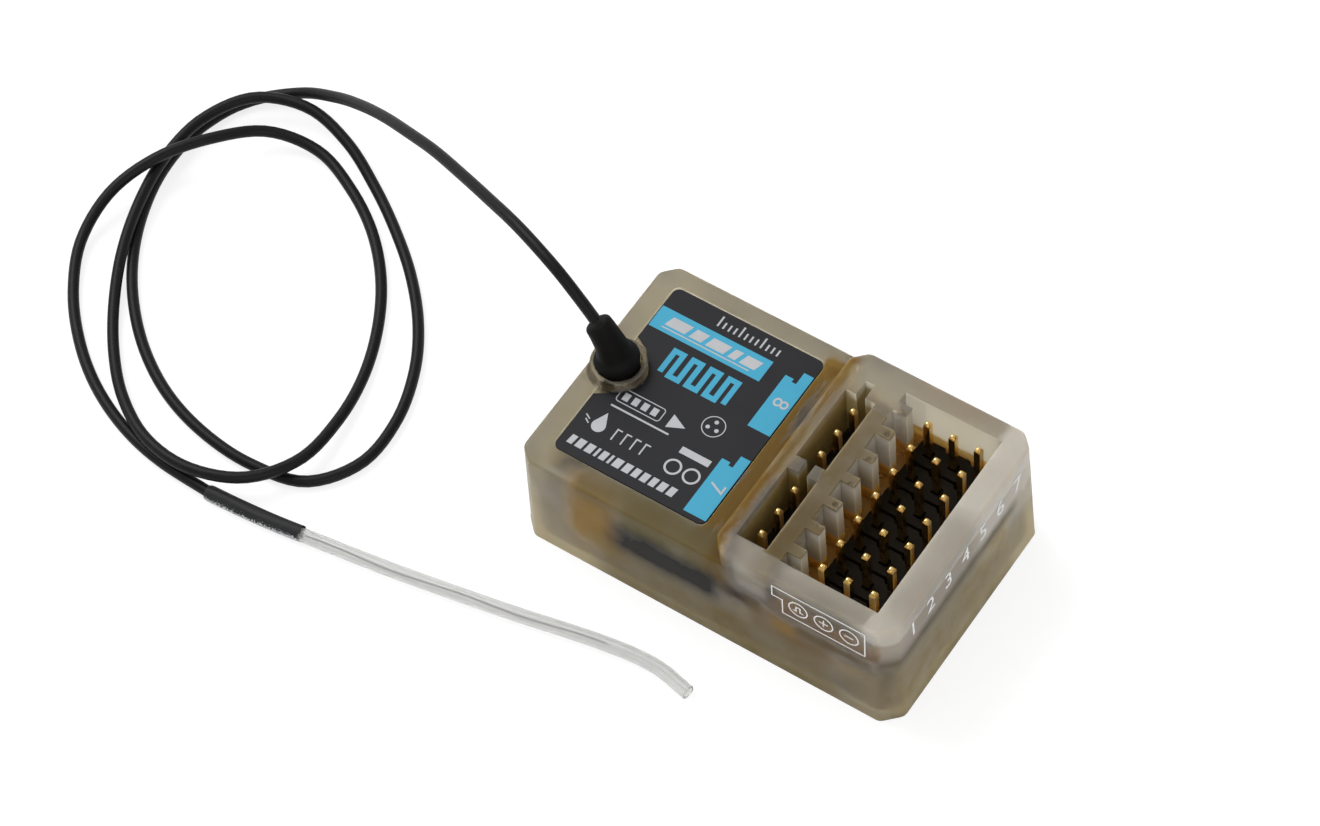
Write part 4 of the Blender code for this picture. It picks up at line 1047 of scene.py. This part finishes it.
def roundOutline(x0, x1, y0, y1, radius, steps=5):
    points = []
    centres = ((x1 - radius, y1 - radius), (x0 + radius, y1 - radius), (x0 + radius, y0 + radius),
               (x1 - radius, y0 + radius))
    for corner, (x, y) in enumerate(centres):
        points += arcPoints(x, y, radius, 90 * corner, 90 * (corner + 1), steps)
    return points


def dropOutline(x, y, radius, tip, steps=20):        # a round drop with a pointed top
    return [(x, y + tip)] + arcPoints(x, y, radius, 150, 390, steps)


def ringPath(x, y, radius, steps=28):
    return arcPoints(x, y, radius, 0, 360, steps)[:-1]


def ribbon(bm, path, width, z0, z1, placer, closed=False):   # a flat line of even width along a path
    points = [Vector((u, v)) for u, v in path]
    count = len(points)
    sharpest = 0.35                        # keeps a narrow corner from reaching out too far
    rings = []
    for i, point in enumerate(points):
        before = points[i - 1] if closed or i > 0 else None
        after = points[(i + 1) % count] if closed or i < count - 1 else None
        into = (point - before).normalized() if before is not None else (after - point).normalized()
        out = (after - point).normalized() if after is not None else into
        across = Vector((-into.y - out.y, into.x + out.x)).normalized()
        reach = across * (width / 2 / max(sharpest, across.dot(Vector((-into.y, into.x)))))
        sides = ((point + reach, z0), (point + reach, z1), (point - reach, z1), (point - reach, z0))
        rings.append([placer(side.x, side.y, z) for side, z in sides])
    bridgeRings(bm, rings, closed)


def makeLabel(finish):
    plan = labelPlan
    steps = 8
    outline = roundOutline(plan["x0"], plan["x1"], plan["y0"], plan["y1"], plan["corner"], steps)
    centreX, centreY = bootPlan["x"] / mm, bootPlan["y"] / mm
    arc = arcPoints(centreX, centreY, plan["notch"], *plan["notchTurns"], 20)
    split = 2 * (steps + 1)                # the cut-out comes after the two far corners
    outline = outline[:split] + plan["notchAbove"] + arc + plan["notchBelow"] + outline[split:]
    low, edge = -plan["thickness"], plan["edge"]
    middle = Vector(((plan["x0"] + plan["x1"]) / 2, (plan["y0"] + plan["y1"]) / 2))
    rings = []
    for z, grow in ((low, 0.0), (-edge, 0.0), (0.0, -edge)):
        grown = [point + (point - middle).normalized() * grow for point in map(Vector, outline)]
        rings.append([onLabel(*point, z) for point in grown])
    return addRings("label_visual", rings, finish, "label_film", "label", angle=25.0)


def addDigit(bm, text, size, depth, turned):
    curve = bpy.data.curves.new("digit_" + text, "FONT")
    curve.body = text
    curve.size = size
    curve.extrude = depth / 2
    curve.align_x = curve.align_y = "CENTER"
    maker = addObject("digit_" + text, curve)
    mesh = shapeOf(maker)
    bpy.data.objects.remove(maker)
    mesh.transform(turned)
    bm.from_mesh(mesh)
    bpy.data.meshes.remove(mesh)


def makeBluePrint(finish):
    bm = bmesh.new()
    low, rise = labelPlan["printRoot"], labelPlan["printRise"]
    flatShape(bm, rectOutline(*blueShapes["band"]), rise)
    for lift in blueShapes["tabPlaces"]:
        flatShape(bm, [(u, v + lift) for u, v in blueShapes["tab"]], rise)
    pulse = blueShapes["pulse"]
    path = []
    foot, head = pulse["y"], pulse["y"] + pulse["height"]
    for i in range(pulse["pulses"]):
        x = pulse["x"] + i * pulse["step"]
        path += [(x, foot), (x, head), (x + pulse["width"], head), (x + pulse["width"], foot)]
    ribbon(bm, path, pulse["line"], low, rise, onLabel)
    return addShape("label_print_blue", bm, finish, "label_film")


def makeGreyPrint(finish):
    bm = bmesh.new()
    shapes = greyShapes
    low, rise = labelPlan["printRoot"], labelPlan["printRise"]
    high = labelPlan["printOver"]

    def flat(outline, top=rise):
        flatShape(bm, outline, top)

    def line(path, width, closed=False):
        ribbon(bm, path, width, low, rise, onLabel, closed)

    def barRow(x, widths, gap, y0, y1, slant, top=rise):
        for width in widths:
            flat(rectOutline(x, x + width, y0, y1, slant), top)
            x += width + gap

    barRow(*bandRow, top=high)
    flat(rectOutline(*shapes["bandLine"]), high)
    for row in greyRows.values():
        barRow(*row)
    for box in shapes["bars"]:
        flat(rectOutline(*box))
    scale = shapes["scale"]
    for i in range(scale["marks"]):
        x = scale["x"] + i * scale["pitch"]
        tall = scale["heights"][i % len(scale["heights"])]
        flat(rectOutline(x, x + scale["width"], scale["y"], scale["y"] + tall))
    border = shapes["frame"]
    line(roundOutline(*border["box"], border["corner"]), border["line"], closed=True)
    flat(shapes["arrow"])
    flat(dropOutline(*shapes["drop"]))
    for splash in shapes["splashes"]:
        line(splash, shapes["splashLine"])
    hooks = shapes["hooks"]
    foot, head = hooks["y"]
    for i in range(hooks["count"]):
        x = hooks["x"] + i * hooks["pitch"]
        line([(x, foot), (x, head), (x + hooks["reach"], head)], hooks["line"])
    for x, y, radius, width in shapes["rings"]:
        line(ringPath(x, y, radius), width, closed=True)
    for x, y in shapes["contacts"]:
        flat(ringPath(x, y, shapes["contactRadius"], 14))
    for text, lift in shapes["digits"]:
        place = Matrix.Translation(onLabel(shapes["digitX"], lift, high / 2))
        turned = place @ Matrix.Rotation(-math.pi / 2, 4, "Z")
        addDigit(bm, text, shapes["digitSize"] * mm, high * mm, turned)
    return addShape("label_print_grey", bm, finish, "label_film")


makeLabel(makeFinish("label_film", filmLook))
makeBluePrint(makeInkFinish("print_blue"))
makeGreyPrint(makeInkFinish("print_grey"))
print("label and its print made")


# White marks on the walls

wallPlan = {               # millimetres
    "halfLength": 19.6, "halfWidth": 12.4, "draft": 0.0388,
    "line": 0.12,
    "root": -0.02,         # the marks start this far inside the wall
    "rise": 0.012,
    "crossRise": 0.014,    # the plus sign's second stroke lies over the first
    "pinPitch": 2.54,
    "firstPin": 9.98,
    "frame": [(7.36, 12.72), (16.63, 12.72), (16.63, 9.38), (8.4, 9.38), (8.4, 11.35), (7.36, 11.35)],
    "signHeight": 11.05,
    "signRadius": 0.92,
    "signReach": 0.45,     # half the length of the plus and minus strokes
    "pulse": [(-0.5, -0.3), (-0.2, -0.3), (-0.2, 0.3), (0.2, 0.3), (0.2, -0.3), (0.5, -0.3)],
    "rows": 7,
    "rowPitch": 2.79,
    "digit": 2.6,
    "digitHeight": 10.9,
    "worn": 0.25,          # share of the ink that is worn off in small spots
}


def onNearWall(u, v, z):
    return Vector((u, -wallPlan["halfWidth"] + wallPlan["draft"] * v - z, v)) * mm


def onEndWall(u, v, z):
    return Vector((wallPlan["halfLength"] - wallPlan["draft"] * v + z, u, v)) * mm


def makeWallFinish():
    white = makeInkFinish("print_white")
    spots = white.step(white.grain(*inkLook["relief"]), 0.35, 0.7)
    white.set(Alpha=1.0 - wallPlan["worn"] * spots)
    return white


def makeWallMarks(finish):
    bm = bmesh.new()
    plan = wallPlan
    low, high = plan["root"], plan["rise"]
    y, reach = plan["signHeight"], plan["signReach"]

    def line(path, top=high, closed=False):
        ribbon(bm, path, plan["line"], low, top, onNearWall, closed)

    line(plan["frame"], closed=True)
    signal, plus, minus = (plan["firstPin"] + i * plan["pinPitch"] for i in range(3))
    for x in (signal, plus, minus):
        line(ringPath(x, y, plan["signRadius"]), closed=True)
    line([(signal + u, y + v) for u, v in plan["pulse"]])
    for x in (plus, minus):
        line([(x - reach, y), (x + reach, y)])
    line([(plus, y - reach), (plus, y + reach)], plan["crossRise"])
    upright = Matrix.Rotation(math.pi / 2, 4, "Z") @ Matrix.Rotation(math.pi / 2, 4, "X")
    onWall = Matrix.Rotation(-math.atan(plan["draft"]), 4, "Y") @ upright
    for row in range(plan["rows"]):
        across = (row - plan["rows"] // 2) * plan["rowPitch"]
        place = Matrix.Translation(onEndWall(across, plan["digitHeight"], 0.0))
        addDigit(bm, str(row + 1), plan["digit"] * mm, 2 * high * mm, place @ onWall)
    return addShape("wall_marks", bm, finish, "frosted_plastic")


makeWallMarks(makeWallFinish())
print("wall marks made")


# Studio

studioPlan = {
    "floorSize": 3.0,
    "floorDrop": 0.00002,  # the floor lies this far under the part
    "aim": (-0.02, 0.0, 0.0),
    "floorShade": 0.86,
    "glow": 1.2,
    "glowShare": 0.64,
    "worldStrength": 0.6,
    "lamps": [
        {"name": "key", "place": (-0.5, 0.1, 0.6), "size": 0.5, "power": 4.2},
        {"name": "fill", "place": (0.5, -0.45, 0.45), "size": 0.6, "power": 1.6},
    ],
}


def makeStudio(plan):
    half = plan["floorSize"] / 2
    corners = rectOutline(-half, half, -half, half)
    mesh = bpy.data.meshes.new("floor")
    mesh.from_pydata([(x, y, -plan["floorDrop"]) for x, y in corners], [], [(0, 1, 2, 3)])
    floor = addObject("floor", mesh)
    paper = Finish("floor_paper")
    shade = plan["floorShade"]
    paper.set(Base_Color=(shade, shade, shade), Roughness=0.95)
    rays = paper.node("ShaderNodeLightPath", {}, {})
    seen = rays["Is Camera Ray"]
    for kind in ("Is Glossy Ray", "Is Transmission Ray"):
        seen = seen.maths("MAXIMUM", seen, rays[kind])
    glow = paper.node("ShaderNodeEmission", {}, {"Color": (1.0, 1.0, 1.0), "Strength": plan["glow"]})
    paper.cover(seen * plan["glowShare"], glow)
    mesh.materials.append(paper.material)

    world = bpy.data.worlds.new("studio")
    bpy.context.scene.world = world
    world.use_nodes = True
    tree = world.node_tree
    background = tree.nodes["Background"]
    background.inputs["Color"].default_value = (1.0, 1.0, 1.0, 1.0)
    background.inputs["Strength"].default_value = plan["worldStrength"]
    seenBackground = tree.nodes.new("ShaderNodeBackground")
    rays = tree.nodes.new("ShaderNodeLightPath")
    mix = tree.nodes.new("ShaderNodeMixShader")
    sources = (rays.outputs["Is Camera Ray"], background.outputs[0], seenBackground.outputs[0])
    for source, socket in zip(sources, mix.inputs):
        tree.links.new(source, socket)
    tree.links.new(mix.outputs[0], tree.nodes["World Output"].inputs["Surface"])

    for lamp in plan["lamps"]:
        data = bpy.data.lights.new(lamp["name"], "AREA")
        data.size = lamp["size"]
        data.energy = lamp["power"]
        light = addObject(lamp["name"], data)
        light.location = lamp["place"]
        aim = Vector(plan["aim"]) - light.location
        light.rotation_euler = aim.to_track_quat("-Z", "Y").to_euler()


makeStudio(studioPlan)
print("studio made")
